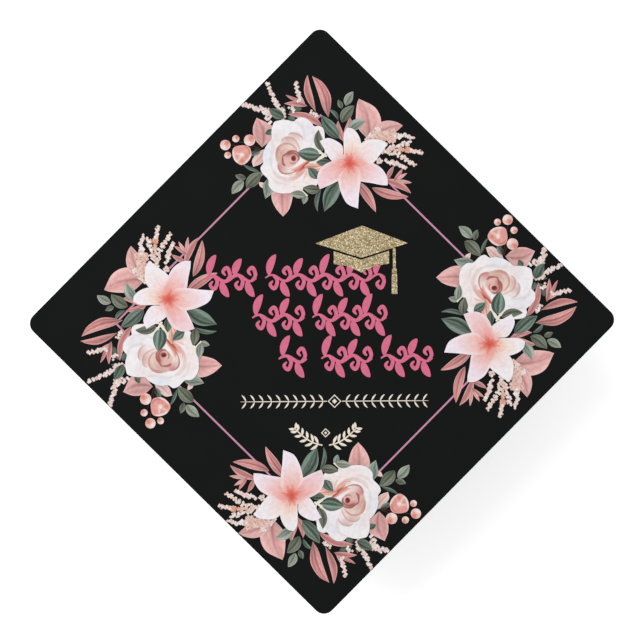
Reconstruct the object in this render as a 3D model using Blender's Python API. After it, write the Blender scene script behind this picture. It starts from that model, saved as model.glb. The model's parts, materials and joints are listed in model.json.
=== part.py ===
"""A square graduation cap with a removable printed topper, all sizes in metres, +Z up.

The cap stands on its hem at z = 0 with its forehead point towards -Y. The board is turned
45 degrees, so that its corners point along X and Y. The topper sits on four hook-and-loop
pads, which leave room under it for the covered button.
"""

import math

import bmesh
import bpy

GAP = 0.0003  # clearance between neighbouring pieces

# Topper: a stiff panel with a printed face sheet
TOPPER_SIDE = 0.235
TOPPER_CORNER = 0.00635
TOPPER_PANEL = 0.0015
PRINT_SHEET = 0.00025

# Cap board: card core in a cloth cover
BOARD_SIDE = 0.231
BOARD_CORNER = 0.005
BOARD_CORE = 0.0025
BOARD_CLOTH = 0.0006

# Skull cap: an oval cloth wall with a rounded shoulder under the board
HEM_HALF_WIDTH = 0.082
HEM_HALF_LENGTH = 0.098
CROWN_HEIGHT = 0.078
WALL_TAPER = 0.008
SHOULDER_RADIUS = 0.004
CAP_CLOTH = 0.0008
SIDE_SEAM = math.radians(115)  # angle from the forehead to each side seam
HEM_RISE = 0.009  # how far the hem arches over each temple
HEM_FLAT = 0.06  # share of the front hem that stands flat at each end of an arch
BACK_HEM = 0.0008
STIFFENER = 0.0008
SWEATBAND = 0.001
ELASTIC = 0.001
CASING = 0.0005
LABEL = 0.0004

# Covered button on a shank through the middle of the board
BUTTON_RADIUS = 0.007
BUTTON_HEIGHT = 0.003
BUTTON_METAL = 0.0005
BUTTON_CLOTH = 0.0004
BACK_PLATE = 0.0006
SHANK_RADIUS = 0.0016
SHANK_HOLE = 0.00225
WASHER_RADIUS = 0.0075
WASHER = 0.0008
PUSH_NUT_RADIUS = 0.0045
PUSH_NUT = 0.0012

# Hook-and-loop pads under the topper's corners
PAD_RADIUS = 0.0125
PAD_REACH = 0.118
LOOP_PAD = 0.0016
HOOK_PAD = 0.0018

# Mesh fineness
CORNER_STEPS = 8
ROUND_STEPS = 36
FRONT_STEPS = 48
BACK_STEPS = 28
WALL_STEPS = 4
SHOULDER_STEPS = 4
DOME_STEPS = 5

# Levels of the stack, from the skull cap up
COVER_UNDER_Z = CROWN_HEIGHT + GAP
CORE_Z = COVER_UNDER_Z + BOARD_CLOTH + GAP
COVER_TOP_Z = CORE_Z + BOARD_CORE + GAP
BOARD_TOP = COVER_TOP_Z + BOARD_CLOTH
LOOP_Z = BOARD_TOP + GAP
HOOK_Z = LOOP_Z + LOOP_PAD + GAP
PANEL_Z = HOOK_Z + HOOK_PAD + GAP
SHEET_Z = PANEL_Z + TOPPER_PANEL + GAP


def clear_scene():
    for old in list(bpy.data.objects):
        bpy.data.objects.remove(old)


def material(name, colour, roughness, metallic=0.0):
    made = bpy.data.materials.new(name)
    made.use_nodes = True
    shader = made.node_tree.nodes["Principled BSDF"]
    shader.inputs["Base Color"].default_value = (*colour, 1)
    shader.inputs["Roughness"].default_value = roughness
    shader.inputs["Metallic"].default_value = metallic
    return made


def joint_empty(name, place):
    empty = bpy.data.objects.new(name, None)
    empty.location = place
    bpy.context.scene.collection.objects.link(empty)
    return empty


def finish_object(name, mesh_data, finish, parent=None, sharp_angle=30):
    """Closes the bmesh into an object. A parented piece keeps its world place."""
    bmesh.ops.recalc_face_normals(mesh_data, faces=mesh_data.faces)
    mesh = bpy.data.meshes.new(name)
    mesh_data.to_mesh(mesh)
    mesh_data.free()
    mesh.shade_smooth()
    mesh.set_sharp_from_angle(angle=math.radians(sharp_angle))
    made = bpy.data.objects.new(name, mesh)
    made.data.materials.append(finish)
    bpy.context.scene.collection.objects.link(made)
    if parent:
        made.parent = parent
        made.matrix_parent_inverse.translation = [-x for x in parent.location]
    return made


def rounded_diamond(side, corner):
    """Outline of a round-cornered square whose corners point along X and Y."""
    centre = (side / 2 - corner) * math.sqrt(2)
    points = []
    for quarter in range(4):
        middle = quarter * math.pi / 2
        for step in range(CORNER_STEPS + 1):
            turn = middle - math.pi / 4 + math.pi / 2 * step / CORNER_STEPS
            points.append(
                (
                    centre * math.cos(middle) + corner * math.cos(turn),
                    centre * math.sin(middle) + corner * math.sin(turn),
                )
            )
    return points


def circle(radius):
    turns = [2 * math.pi * i / ROUND_STEPS for i in range(ROUND_STEPS)]
    return [(radius * math.cos(turn), radius * math.sin(turn)) for turn in turns]


def hole_to_match(outline, radius):
    """A round hole with one point for each point of the outline."""
    return [
        (radius * x / math.hypot(x, y), radius * y / math.hypot(x, y)) for x, y in outline
    ]


def ring_of(mesh_data, points, height):
    return [mesh_data.verts.new((x, y, height)) for x, y in points]


def skin(mesh_data, first, second):
    """Quads between two closed rings with as many points."""
    count = len(first)
    for i in range(count):
        j = (i + 1) % count
        mesh_data.faces.new((first[i], first[j], second[j], second[i]))


def slab(name, outline, low, high, finish, parent=None, place=(0, 0)):
    """A flat plate of the outline's shape."""
    moved = [(x + place[0], y + place[1]) for x, y in outline]
    made = bmesh.new()
    bottom = ring_of(made, moved, low)
    top = ring_of(made, moved, high)
    skin(made, bottom, top)
    made.faces.new(bottom)
    made.faces.new(top)
    return finish_object(name, made, finish, parent)


def turned(name, profile, finish, parent=None):
    """A solid of revolution about Z through (radius, height) points.

    The profile either loops clear of the axis, or starts and ends on it.
    """
    made = bmesh.new()
    rings = []
    for radius, height in profile:
        outline = circle(radius) if radius else [(0, 0)]
        rings.append(ring_of(made, outline, height))
    for first, second in zip(rings, rings[1:] + rings[:1]):
        if len(first) == len(second) == 1:
            continue
        if len(first) == len(second):
            skin(made, first, second)
            continue
        tip, rim = sorted((first, second), key=len)
        for i, corner in enumerate(rim):
            made.faces.new((tip[0], corner, rim[(i + 1) % len(rim)]))
    return finish_object(name, made, finish, parent)


def holed_slab(name, outline, hole_radius, low, high, finish):
    """A flat plate with a round hole in its middle."""
    hole = hole_to_match(outline, hole_radius)
    made = bmesh.new()
    rings = [
        ring_of(made, outline, low),
        ring_of(made, outline, high),
        ring_of(made, hole, high),
        ring_of(made, hole, low),
    ]
    for i, ring in enumerate(rings):
        skin(made, ring, rings[(i + 1) % 4])
    return finish_object(name, made, finish)


# ---- board ---------------------------------------------------------------------------


def board_core(finish):
    inside = BOARD_SIDE - 2 * (BOARD_CLOTH + GAP)
    outline = rounded_diamond(inside, BOARD_CORNER - BOARD_CLOTH - GAP)
    holed_slab("board_core", outline, SHANK_HOLE, CORE_Z, CORE_Z + BOARD_CORE, finish)


def board_cover_top(finish):
    """Cloth laid over the core and turned down round its edge, like a shallow tray."""
    outer = rounded_diamond(BOARD_SIDE, BOARD_CORNER)
    inner = rounded_diamond(BOARD_SIDE - 2 * BOARD_CLOTH, BOARD_CORNER - BOARD_CLOTH)
    hole = hole_to_match(outer, SHANK_HOLE)
    made = bmesh.new()
    rings = [
        ring_of(made, outer, COVER_UNDER_Z),
        ring_of(made, outer, BOARD_TOP),
        ring_of(made, hole, BOARD_TOP),
        ring_of(made, hole, COVER_TOP_Z),
        ring_of(made, inner, COVER_TOP_Z),
        ring_of(made, inner, COVER_UNDER_Z),
    ]
    for i, ring in enumerate(rings):
        skin(made, ring, rings[(i + 1) % len(rings)])
    finish_object("board_cover_top", made, finish)


def board_cover_under(finish):
    inside = BOARD_SIDE - 2 * (BOARD_CLOTH + GAP)
    outline = rounded_diamond(inside, BOARD_CORNER - BOARD_CLOTH - GAP)
    top = COVER_UNDER_Z + BOARD_CLOTH
    holed_slab("board_cover_under", outline, SHANK_HOLE, COVER_UNDER_Z, top, finish)


# ---- skull cap -----------------------------------------------------------------------


def hem_height(angle):
    """Height of the hem: flat at the forehead point and at the side seams, arched between."""
    turn = abs(angle)
    if turn >= SIDE_SEAM:
        return BACK_HEM
    share = (turn / SIDE_SEAM - HEM_FLAT) / (1 - 2 * HEM_FLAT)
    share = min(1.0, max(0.0, share))
    return HEM_RISE * math.sin(math.pi * share) ** 2


def wall_point(angle, inset, height):
    """A point of the oval wall. Angle 0 is the forehead, and 180 degrees the nape."""
    return (
        (HEM_HALF_WIDTH - inset) * math.sin(angle),
        -(HEM_HALF_LENGTH - inset) * math.cos(angle),
        height,
    )


def wall_inset(height):
    """How far the straight wall has drawn in at this height."""
    return WALL_TAPER * height / (CROWN_HEIGHT - SHOULDER_RADIUS)


def straight_column(angle, depth, low, high):
    """Points up the straight wall, at a depth under its outer face."""
    heights = [low + (high - low) * i / WALL_STEPS for i in range(WALL_STEPS + 1)]
    return [wall_point(angle, wall_inset(z) + depth, z) for z in heights]


def full_column(angle, depth):
    """Points from the hem up the wall and over the shoulder to the crown's edge."""
    shoulder = CROWN_HEIGHT - SHOULDER_RADIUS
    column = straight_column(angle, depth, hem_height(angle), shoulder)
    radius = SHOULDER_RADIUS - depth
    for step in range(1, SHOULDER_STEPS + 1):
        turn = math.pi / 2 * step / SHOULDER_STEPS
        inset = WALL_TAPER + SHOULDER_RADIUS - radius * math.cos(turn)
        column.append(wall_point(angle, inset, shoulder + radius * math.sin(turn)))
    return column


def curved_sheet(name, start, end, steps, column_of, depths, finish, parent=None):
    """A sheet that follows the wall from one angle to another, between two depths."""
    made = bmesh.new()
    faces = []
    for depth in depths:
        columns = []
        for i in range(steps + 1):
            angle = start + (end - start) * i / steps
            columns.append([made.verts.new(p) for p in column_of(angle, depth)])
        faces.append(columns)
    outer, inner = faces
    rows = len(outer[0])
    for side in faces:
        for i in range(steps):
            for j in range(rows - 1):
                made.faces.new((side[i][j], side[i + 1][j], side[i + 1][j + 1], side[i][j + 1]))
    for i in range(steps):
        for j in (0, rows - 1):
            made.faces.new((outer[i][j], outer[i + 1][j], inner[i + 1][j], inner[i][j]))
    for i in (0, steps):
        for j in range(rows - 1):
            made.faces.new((outer[i][j], outer[i][j + 1], inner[i][j + 1], inner[i][j]))
    return finish_object(name, made, finish, parent)


def band(above_hem, height):
    """Column function of a band that keeps its distance from the hem."""

    def column(angle, depth):
        low = hem_height(angle) + above_hem
        return straight_column(angle, depth, low, low + height)

    return column


def strip(low, high):
    """Column function of a strip between two fixed heights."""
    return lambda angle, depth: straight_column(angle, depth, low, high)


def front_panel(finish):
    seam = SIDE_SEAM - GAP / 2 / HEM_HALF_WIDTH
    depths = (0, CAP_CLOTH)
    curved_sheet("front_panel", -seam, seam, FRONT_STEPS, full_column, depths, finish)


def front_stiffener(finish):
    """Stiff band that keeps the front of the wall upright, inside the cloth."""
    end = SIDE_SEAM - math.radians(9)
    depth = CAP_CLOTH + GAP
    foot = 0.003

    def column(angle, depth):
        low = hem_height(angle) + foot
        return straight_column(angle, depth, low, CROWN_HEIGHT - SHOULDER_RADIUS)

    depths = (depth, depth + STIFFENER)
    curved_sheet("front_stiffener", -end, end, FRONT_STEPS, column, depths, finish)


def sweatband(finish):
    """Soft band inside the front hem, against the forehead."""
    end = SIDE_SEAM - math.radians(3)
    depth = CAP_CLOTH + STIFFENER + 2 * GAP
    depths = (depth, depth + SWEATBAND)
    curved_sheet("sweatband", -end, end, FRONT_STEPS, band(0.001, 0.03), depths, finish)


def seam_tapes(finish):
    """Tapes inside the wall over the two side seams, above the elastic."""
    half_width = math.radians(3.2)
    depths = (CAP_CLOTH + GAP, CAP_CLOTH + GAP + CASING)
    column = strip(0.028, 0.054)
    for name, middle in (("seam_tape_right", SIDE_SEAM), ("seam_tape_left", -SIDE_SEAM)):
        start, end = middle - half_width, middle + half_width
        curved_sheet(name, start, end, 4, column, depths, finish)


def crown_halves(finish):
    """Two flat half ovals that close the skull cap's top and meet at a seam front to back."""
    inset = WALL_TAPER + SHOULDER_RADIUS + GAP
    half_width = HEM_HALF_WIDTH - inset
    half_length = HEM_HALF_LENGTH - inset
    low = CROWN_HEIGHT - CAP_CLOTH
    notch = math.asin(GAP / 2 / SHANK_HOLE)
    for name, side in (("crown_right", 1), ("crown_left", -1)):
        made = bmesh.new()
        rim, hole = [], []
        for i in range(FRONT_STEPS // 2 + 1):
            share = i / (FRONT_STEPS // 2)
            turn = math.pi * share
            x = max(GAP / 2, half_width * math.sin(turn))
            rim.append((side * x, -half_length * math.cos(turn)))
            bite = notch + (math.pi - 2 * notch) * share
            hole.append((side * SHANK_HOLE * math.sin(bite), -SHANK_HOLE * math.cos(bite)))
        outline = rim + hole[::-1]
        bottom = ring_of(made, outline, low)
        top = ring_of(made, outline, CROWN_HEIGHT)
        skin(made, bottom, top)
        last = len(outline) - 1
        for i in range(len(rim) - 1):
            made.faces.new((bottom[i], bottom[i + 1], bottom[last - i - 1], bottom[last - i]))
            made.faces.new((top[i], top[i + 1], top[last - i - 1], top[last - i]))
        finish_object(name, made, finish)


# ---- elastic back --------------------------------------------------------------------


def back_column(angle, depth):
    """As full_column, also past the nape, where the hem's height follows the other side."""
    if angle <= math.pi:
        return full_column(angle, depth)
    return [(-x, y, z) for x, y, z in full_column(2 * math.pi - angle, depth)]


def back_pieces(cloth, elastic, label, parent):
    """The gathered back panel with the elastic, its casing and a blank size label."""
    start = SIDE_SEAM + GAP / 2 / HEM_HALF_WIDTH
    end = 2 * math.pi - start

    def layer(name, column, depth, thickness, finish):
        depths = (depth, depth + thickness)
        curved_sheet(name, start, end, BACK_STEPS, column, depths, finish, parent)

    under_cloth = CAP_CLOTH + GAP
    elastic_run = strip(BACK_HEM + 0.002, BACK_HEM + 0.020)
    casing_run = strip(BACK_HEM + 0.0005, BACK_HEM + 0.023)
    layer("back_panel", back_column, 0, CAP_CLOTH, cloth)
    layer("elastic_band", elastic_run, under_cloth, ELASTIC, elastic)
    layer("elastic_casing", casing_run, under_cloth + ELASTIC + GAP, CASING, cloth)

    half_width = math.radians(8)
    start, end = math.pi - half_width, math.pi + half_width
    depths = (under_cloth, under_cloth + LABEL)
    curved_sheet("size_label", start, end, 6, strip(0.030, 0.046), depths, label, parent)


# ---- button --------------------------------------------------------------------------


def dome(radius, foot, height):
    """Profile of a flattened dome, from its top on the axis down to its foot."""
    points = [(0, foot + height)]
    for step in range(DOME_STEPS - 1, -1, -1):
        turn = math.pi / 2 * step / DOME_STEPS
        points.append((radius * math.cos(turn) ** 0.6, foot + height * math.sin(turn)))
    return points


def domed_cap(name, radius, foot, height, thickness, finish, parent):
    """A dome of even thickness, open underneath."""
    outer = dome(radius, foot, height)
    inner = dome(radius - thickness, foot, height - thickness)
    turned(name, outer + inner[::-1], finish, parent)


def button_pieces(cloth, metal, parent):
    foot = BOARD_TOP + GAP
    skin_depth = BUTTON_CLOTH + GAP
    shell_radius = BUTTON_RADIUS - skin_depth
    shell_height = BUTTON_HEIGHT - skin_depth
    domed_cap("button_cloth", BUTTON_RADIUS, foot, BUTTON_HEIGHT, BUTTON_CLOTH, cloth, parent)
    domed_cap("button_shell", shell_radius, foot, shell_height, BUTTON_METAL, metal, parent)

    plate_radius = shell_radius - BUTTON_METAL - GAP
    nut_top = CROWN_HEIGHT - CAP_CLOTH - WASHER - 2 * GAP
    shank_foot = nut_top - PUSH_NUT - GAP
    back_profile = [
        (0, foot + BACK_PLATE),
        (plate_radius, foot + BACK_PLATE),
        (plate_radius, foot),
        (SHANK_RADIUS, foot),
        (SHANK_RADIUS, shank_foot),
        (0, shank_foot),
    ]
    turned("button_back", back_profile, metal, parent)
    ring("button_push_nut", PUSH_NUT_RADIUS, SHANK_RADIUS + GAP, nut_top, PUSH_NUT, metal, parent)


def ring(name, radius, hole, top, thickness, finish, parent=None):
    """A flat round washer, by the height of its top."""
    low = top - thickness
    profile = [(radius, low), (radius, top), (hole, top), (hole, low)]
    turned(name, profile, finish, parent)


def button_washer(finish):
    """Fixed washer under the crown that spreads the shank's pull."""
    top = CROWN_HEIGHT - CAP_CLOTH - GAP
    ring("button_washer", WASHER_RADIUS, SHANK_HOLE, top, WASHER, finish)


# ---- topper --------------------------------------------------------------------------


def topper_pieces(panel, sheet, parent):
    outline = rounded_diamond(TOPPER_SIDE, TOPPER_CORNER)
    slab("topper_panel", outline, PANEL_Z, PANEL_Z + TOPPER_PANEL, panel, parent)
    slab("print_sheet", outline, SHEET_Z, SHEET_Z + PRINT_SHEET, sheet, parent)


def pads(loop, hook, parent):
    """A loop pad on the cap and a hook pad on the topper, near each corner."""
    corners = {
        "front": (0, -PAD_REACH),
        "right": (PAD_REACH, 0),
        "back": (0, PAD_REACH),
        "left": (-PAD_REACH, 0),
    }
    outline = circle(PAD_RADIUS)
    for corner, place in corners.items():
        slab(f"loop_pad_{corner}", outline, LOOP_Z, LOOP_Z + LOOP_PAD, loop, None, place)
        slab(f"hook_pad_{corner}", outline, HOOK_Z, HOOK_Z + HOOK_PAD, hook, parent, place)


def main():
    clear_scene()
    cloth = material("black_cloth", (0.012, 0.012, 0.013), 0.9)
    card = material("grey_card", (0.35, 0.31, 0.26), 0.9)
    stiff = material("white_stiffener", (0.75, 0.75, 0.72), 0.6)
    soft_band = material("sweatband_cloth", (0.02, 0.02, 0.022), 0.85)
    elastic = material("black_elastic", (0.025, 0.025, 0.027), 0.8)
    label = material("white_label", (0.8, 0.8, 0.78), 0.7)
    metal = material("tinned_steel", (0.6, 0.6, 0.58), 0.35, 1.0)
    plastic = material("black_washer", (0.02, 0.02, 0.02), 0.5)
    panel = material("black_panel", (0.012, 0.012, 0.012), 0.5)
    printed = material("printed_face", (0.011, 0.012, 0.012), 0.45)
    loop = material("loop_pile", (0.03, 0.03, 0.03), 0.95)
    hook = material("hook_plastic", (0.03, 0.03, 0.03), 0.6)

    board_core(card)
    board_cover_top(cloth)
    board_cover_under(cloth)
    crown_halves(cloth)
    front_panel(cloth)
    front_stiffener(stiff)
    sweatband(soft_band)
    seam_tapes(cloth)
    button_washer(plastic)

    back_hinge = joint_empty("back_hinge", (0, HEM_HALF_LENGTH + 0.001, CROWN_HEIGHT))
    back_pieces(cloth, elastic, label, back_hinge)

    button_axis = joint_empty("button_axis", (0, 0, BOARD_TOP))
    button_pieces(cloth, metal, button_axis)

    topper_seat = joint_empty("topper_seat", (0, 0, HOOK_Z))
    topper_pieces(panel, printed, topper_seat)
    pads(loop, hook, topper_seat)


main()
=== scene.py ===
import json
import math
import random

import bmesh
import bpy
import numpy as np
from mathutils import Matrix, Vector


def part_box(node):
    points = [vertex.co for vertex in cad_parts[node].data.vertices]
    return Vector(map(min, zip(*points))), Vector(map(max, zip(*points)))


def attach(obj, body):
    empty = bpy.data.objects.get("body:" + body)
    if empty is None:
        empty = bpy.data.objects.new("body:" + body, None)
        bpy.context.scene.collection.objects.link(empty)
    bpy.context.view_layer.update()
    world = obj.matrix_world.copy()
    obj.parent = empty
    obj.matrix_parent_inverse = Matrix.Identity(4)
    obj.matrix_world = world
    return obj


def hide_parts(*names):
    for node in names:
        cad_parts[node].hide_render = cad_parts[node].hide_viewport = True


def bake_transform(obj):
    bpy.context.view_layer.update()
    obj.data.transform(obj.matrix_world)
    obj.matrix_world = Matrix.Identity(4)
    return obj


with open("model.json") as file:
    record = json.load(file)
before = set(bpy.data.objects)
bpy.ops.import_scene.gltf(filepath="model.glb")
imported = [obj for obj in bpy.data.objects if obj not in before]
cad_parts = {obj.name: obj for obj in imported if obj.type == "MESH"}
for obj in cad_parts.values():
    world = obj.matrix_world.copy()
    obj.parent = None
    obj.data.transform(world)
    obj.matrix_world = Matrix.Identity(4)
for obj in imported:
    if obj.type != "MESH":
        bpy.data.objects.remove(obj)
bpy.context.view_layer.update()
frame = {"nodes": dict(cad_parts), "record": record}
nodes = frame["nodes"]
mm = 0.001
print("frame loaded:", len(nodes), "nodes")


def linear(red, green, blue):
    tones = (red, green, blue)
    return np.array([c / 3295 if c < 11 else ((c / 255 + 0.055) / 1.055) ** 2.4 for c in tones])


def smoothStep(low, high, value):
    share = np.clip((value - low) / (high - low), 0, 1)
    return share * share * (3 - 2 * share)


def mix(first, second, share):
    return first + (second - first) * np.asarray(share)[..., None]


def curveThrough(points, count, closed=False):
    points = np.array(points, float)
    if closed:
        padded = np.vstack([points[-1:], points, points[:2]])
    else:
        padded = np.vstack([2 * points[0] - points[1], points, 2 * points[-1] - points[-2]])
    spans = len(padded) - 3
    at = np.linspace(0, spans, count, endpoint=not closed)
    span = np.minimum(at.astype(int), spans - 1)
    f = (at - span)[:, None]
    a, b, c, d = (padded[span + k] for k in range(4))
    bend = 2 * a - 5 * b + 4 * c - d
    return 0.5 * (2 * b + (c - a) * f + bend * f**2 + (3 * b - a - 3 * c + d) * f**3)


def evenly(path, count):
    steps = np.r_[0, np.cumsum(np.linalg.norm(np.diff(path, axis=0), axis=1))]
    at = np.linspace(0, steps[-1], count)
    return np.column_stack([np.interp(at, steps, path[:, k]) for k in range(path.shape[1])])


def nearest(points, path):
    best = np.full(len(points), 1e9)
    along = np.zeros(len(points))
    for i in range(len(path) - 1):
        start, run = path[i], path[i + 1] - path[i]
        f = np.clip(((points - start) @ run) / max(run @ run, 1e-12), 0, 1)
        far = np.linalg.norm(points - start - f[:, None] * run, axis=1)
        closer = far < best
        best[closer] = far[closer]
        along[closer] = ((i + f) / (len(path) - 1))[closer]
    return best, along


def meshFrom(work, name, smooth=True):
    bmesh.ops.recalc_face_normals(work, faces=work.faces)
    mesh = bpy.data.meshes.new(name)
    work.to_mesh(mesh)
    work.free()
    if smooth:
        mesh.shade_smooth()
    return mesh


def meshOf(name, points, faces, smooth=True):
    raw = bpy.data.meshes.new(name)
    raw.from_pydata(points, [], faces)
    raw.validate()
    work = bmesh.new()
    work.from_mesh(raw)
    bpy.data.meshes.remove(raw)
    return meshFrom(work, name, smooth)


def placed(name, mesh, material):
    made = bpy.data.objects.new(name, mesh)
    bpy.context.scene.collection.objects.link(made)
    if material:
        mesh.materials.append(material)
    return made


def newMaterial(name, roughness=0.5, metallic=0.0, specular=0.5, sheen=0.0):
    made = bpy.data.materials.new(name)
    made.use_nodes = True
    shader = made.node_tree.nodes["Principled BSDF"]
    shader.inputs["Roughness"].default_value = roughness
    shader.inputs["Metallic"].default_value = metallic
    shader.inputs["Specular IOR Level"].default_value = specular
    shader.inputs["Sheen Weight"].default_value = sheen
    shader.inputs["Sheen Roughness"].default_value = 0.45
    return made, made.node_tree, shader


def addNode(tree, kind, values=(), **settings):
    made = tree.nodes.new("ShaderNode" + kind)
    for key, value in settings.items():
        setattr(made, key, value)
    for socket, value in dict(values).items():
        if isinstance(value, bpy.types.NodeSocket):
            tree.links.new(value, made.inputs[socket])
        else:
            made.inputs[socket].default_value = value
    return made


def noise(tree, place, scale, detail=3.0, roughness=0.55):
    values = {"Vector": place, "Scale": scale, "Detail": detail, "Roughness": roughness}
    return addNode(tree, "TexNoise", values).outputs["Fac"]


def ramp(tree, value, *stops):
    made = addNode(tree, "ValToRGB", {"Fac": value})
    elements = made.color_ramp.elements
    while len(elements) < len(stops):
        elements.new(0.5)
    for element, (place, colour) in zip(elements, stops):
        element.position = place
        element.color = (*colour, 1)
    return made.outputs["Color"]


def multiplied(tree, first, second, share=1.0):
    made = addNode(tree, "Mix", {0: share, 6: first, 7: second}, data_type="RGBA", blend_type="MULTIPLY")
    return made.outputs[2]


def grey(value):
    return (value, value, value)


def bump(tree, shader, height, distance, strength=1.0):
    made = addNode(tree, "Bump", {"Height": height, "Distance": distance, "Strength": strength})
    tree.links.new(made.outputs["Normal"], shader.inputs["Normal"])


def between(tree, value, low, high):
    made = addNode(tree, "MapRange", {"Value": value, "To Min": low, "To Max": high})
    return made.outputs["Result"]


def makeCloth(name, colour, yarn, sheen=0.1, roughness=0.85, alongWall=False, depth=0.12 * mm):
    made, tree, shader = newMaterial(name, roughness, specular=0.25, sheen=sheen)
    if alongWall:
        place = addNode(tree, "Attribute", attribute_name="clothRun").outputs["Vector"]
    else:
        place = addNode(tree, "TexCoord").outputs["Object"]
    wave = 2 * math.pi / 10 / yarn
    ribs = addNode(tree, "TexWave", {"Vector": place, "Scale": wave / 2}, bands_direction="DIAGONAL")
    weftAxis = "Y" if alongWall else "X"
    weft = addNode(tree, "TexWave", {"Vector": place, "Scale": wave}, bands_direction=weftAxis)
    both = {0: ribs.outputs["Fac"], 1: weft.outputs["Fac"]}
    weave = addNode(tree, "Math", both, operation="ADD").outputs[0]
    dye = ramp(tree, noise(tree, place, 90), (0.3, colour * 0.8), (0.7, colour * 1.25))
    # Base colour darkened by up to 28% where the weave is low: painted shade in the grooves between the
    # threads.
    weaveGrooveShade = ramp(tree, weave, (0.2, grey(0.72)), (1.0, grey(1.0)))
    tree.links.new(multiplied(tree, dye, weaveGrooveShade), shader.inputs["Base Color"])
    dull = between(tree, noise(tree, place, 240), roughness - 0.08, roughness + 0.08)
    tree.links.new(dull, shader.inputs["Roughness"])
    bump(tree, shader, weave, depth, 0.8)
    return made


def makeSheeted(name, colour, roughness, grain, depth, specular=0.5, metallic=0.0, shade=0.12):
    made, tree, shader = newMaterial(name, roughness, metallic, specular)
    place = addNode(tree, "TexCoord").outputs["Object"]
    patches = noise(tree, place, 45, 2)
    fine = noise(tree, place, 1 / grain, 4)
    dye = ramp(tree, patches, (0.3, colour * (1 - shade)), (0.7, colour * (1 + shade)))
    tree.links.new(dye, shader.inputs["Base Color"])
    tree.links.new(between(tree, fine, roughness - 0.07, roughness + 0.07), shader.inputs["Roughness"])
    bump(tree, shader, fine, depth, 0.6)
    return made


def makeInk():
    made, tree, shader = newMaterial("printedInk", 0.5, specular=0.15)
    colour = addNode(tree, "Attribute", attribute_name="ink").outputs["Color"]
    place = addNode(tree, "TexCoord").outputs["Object"]
    pools = ramp(tree, noise(tree, place, 380, 4, 0.6), (0.3, grey(0.88)), (0.62, grey(1.0)))
    grain = ramp(tree, noise(tree, place, 2200, 2), (0.3, grey(0.95)), (0.7, grey(1.0)))
    tree.links.new(multiplied(tree, multiplied(tree, colour, pools), grain), shader.inputs["Base Color"])
    tree.links.new(between(tree, noise(tree, place, 700), 0.42, 0.58), shader.inputs["Roughness"])
    return made


def makeGlitter():
    made, tree, shader = newMaterial("goldGlitter", 0.4, 0.25, 0.4)
    place = addNode(tree, "TexCoord").outputs["Object"]
    flakes = addNode(tree, "TexVoronoi", {"Vector": place, "Scale": 1900.0})
    shade = addNode(tree, "SeparateColor", {"Color": flakes.outputs["Color"]}).outputs[0]
    gold = ramp(
        tree,
        shade,
        (0.0, linear(112, 94, 62)),
        (0.35, linear(162, 143, 102)),
        (0.75, linear(190, 172, 132)),
        (1.0, linear(244, 234, 204)),
    )
    tree.links.new(gold, shader.inputs["Base Color"])
    tree.links.new(between(tree, shade, 0.3, 0.55), shader.inputs["Roughness"])
    bump(tree, shader, shade, 0.05 * mm, 0.5)
    return made


clothColour = linear(24, 24, 26)
blackTwill = makeCloth("blackTwill", clothColour, 0.75 * mm)
wallTwill = makeCloth("wallTwill", clothColour, 0.75 * mm, sheen=0.22, alongWall=True)
bandCloth = makeCloth("bandCloth", linear(34, 34, 37), 0.55 * mm, sheen=0.25, alongWall=True)
labelCloth = makeCloth("labelSatin", linear(228, 227, 222), 0.35 * mm, roughness=0.5, alongWall=True)
elasticRib = makeCloth("elasticRib", linear(40, 40, 43), 1.2 * mm, roughness=0.75)
thread = makeSheeted("blackThread", linear(46, 46, 50), 0.6, 0.3 * mm, 0.05 * mm)
inkPrint = makeInk()
goldGlitter = makeGlitter()
finishes = {
    "grey_card": makeSheeted("greyCard", linear(158, 150, 138), 0.9, 0.6 * mm, 0.1 * mm),
    "white_stiffener": makeSheeted("stiffenerSheet", linear(225, 225, 220), 0.5, 1.5 * mm, 0.05 * mm),
    "tinned_steel": makeSheeted("tinnedSteel", linear(205, 205, 200), 0.32, 0.4 * mm, 0.02 * mm,
                                metallic=1.0),
    "black_washer": makeSheeted("blackWasher", linear(34, 34, 35), 0.45, 0.5 * mm, 0.03 * mm),
    "black_panel": makeSheeted("foamPanel", linear(24, 24, 25), 0.6, 0.5 * mm, 0.06 * mm, specular=0.3),
    "printed_face": makeSheeted("laminate", linear(19, 20, 20), 0.6, 0.9 * mm, 0.01 * mm,
                                specular=0.05, shade=0.05),
    "black_cloth": blackTwill,
    "black_elastic": elasticRib,
}
for row in frame["record"]["subparts"]:
    if row["material_slot"] in finishes:
        nodes[row["node"]].data.materials.clear()
        nodes[row["node"]].data.materials.append(finishes[row["material_slot"]])
print("materials ready:", len(bpy.data.materials))

# Each printed shape is a thin closed layer on the sheet. Points are in mm, from the board's middle.

inkLayers = {"lift": 0.03, "step": 0.005, "sink": 0.02, "margin": 0.35}  # mm: first, next, foot, rim
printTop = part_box("print_sheet")[1].z
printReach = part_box("print_sheet")[1].x / mm  # from the middle to a corner
sheetCorner = 6.35
printEdge = printReach + sheetCorner * (math.sqrt(2) - 1) - inkLayers["margin"] * math.sqrt(2)


def newPot(level=0, turn=0, shift=(0, 0)):
    angle = math.radians(turn)
    spin = np.array([[math.cos(angle), math.sin(angle)], [-math.sin(angle), math.cos(angle)]])
    return {"points": [], "tones": [], "faces": [], "level": level, "spin": spin, "shift": np.array(shift)}


def trimmed(spots):
    over = np.abs(spots).sum(-1) - printEdge  # how far each point lies past the sheet's rim
    return spots - np.sign(spots) * (np.maximum(over, 0) / 2)[..., None], bool((over > 0).all())


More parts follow.
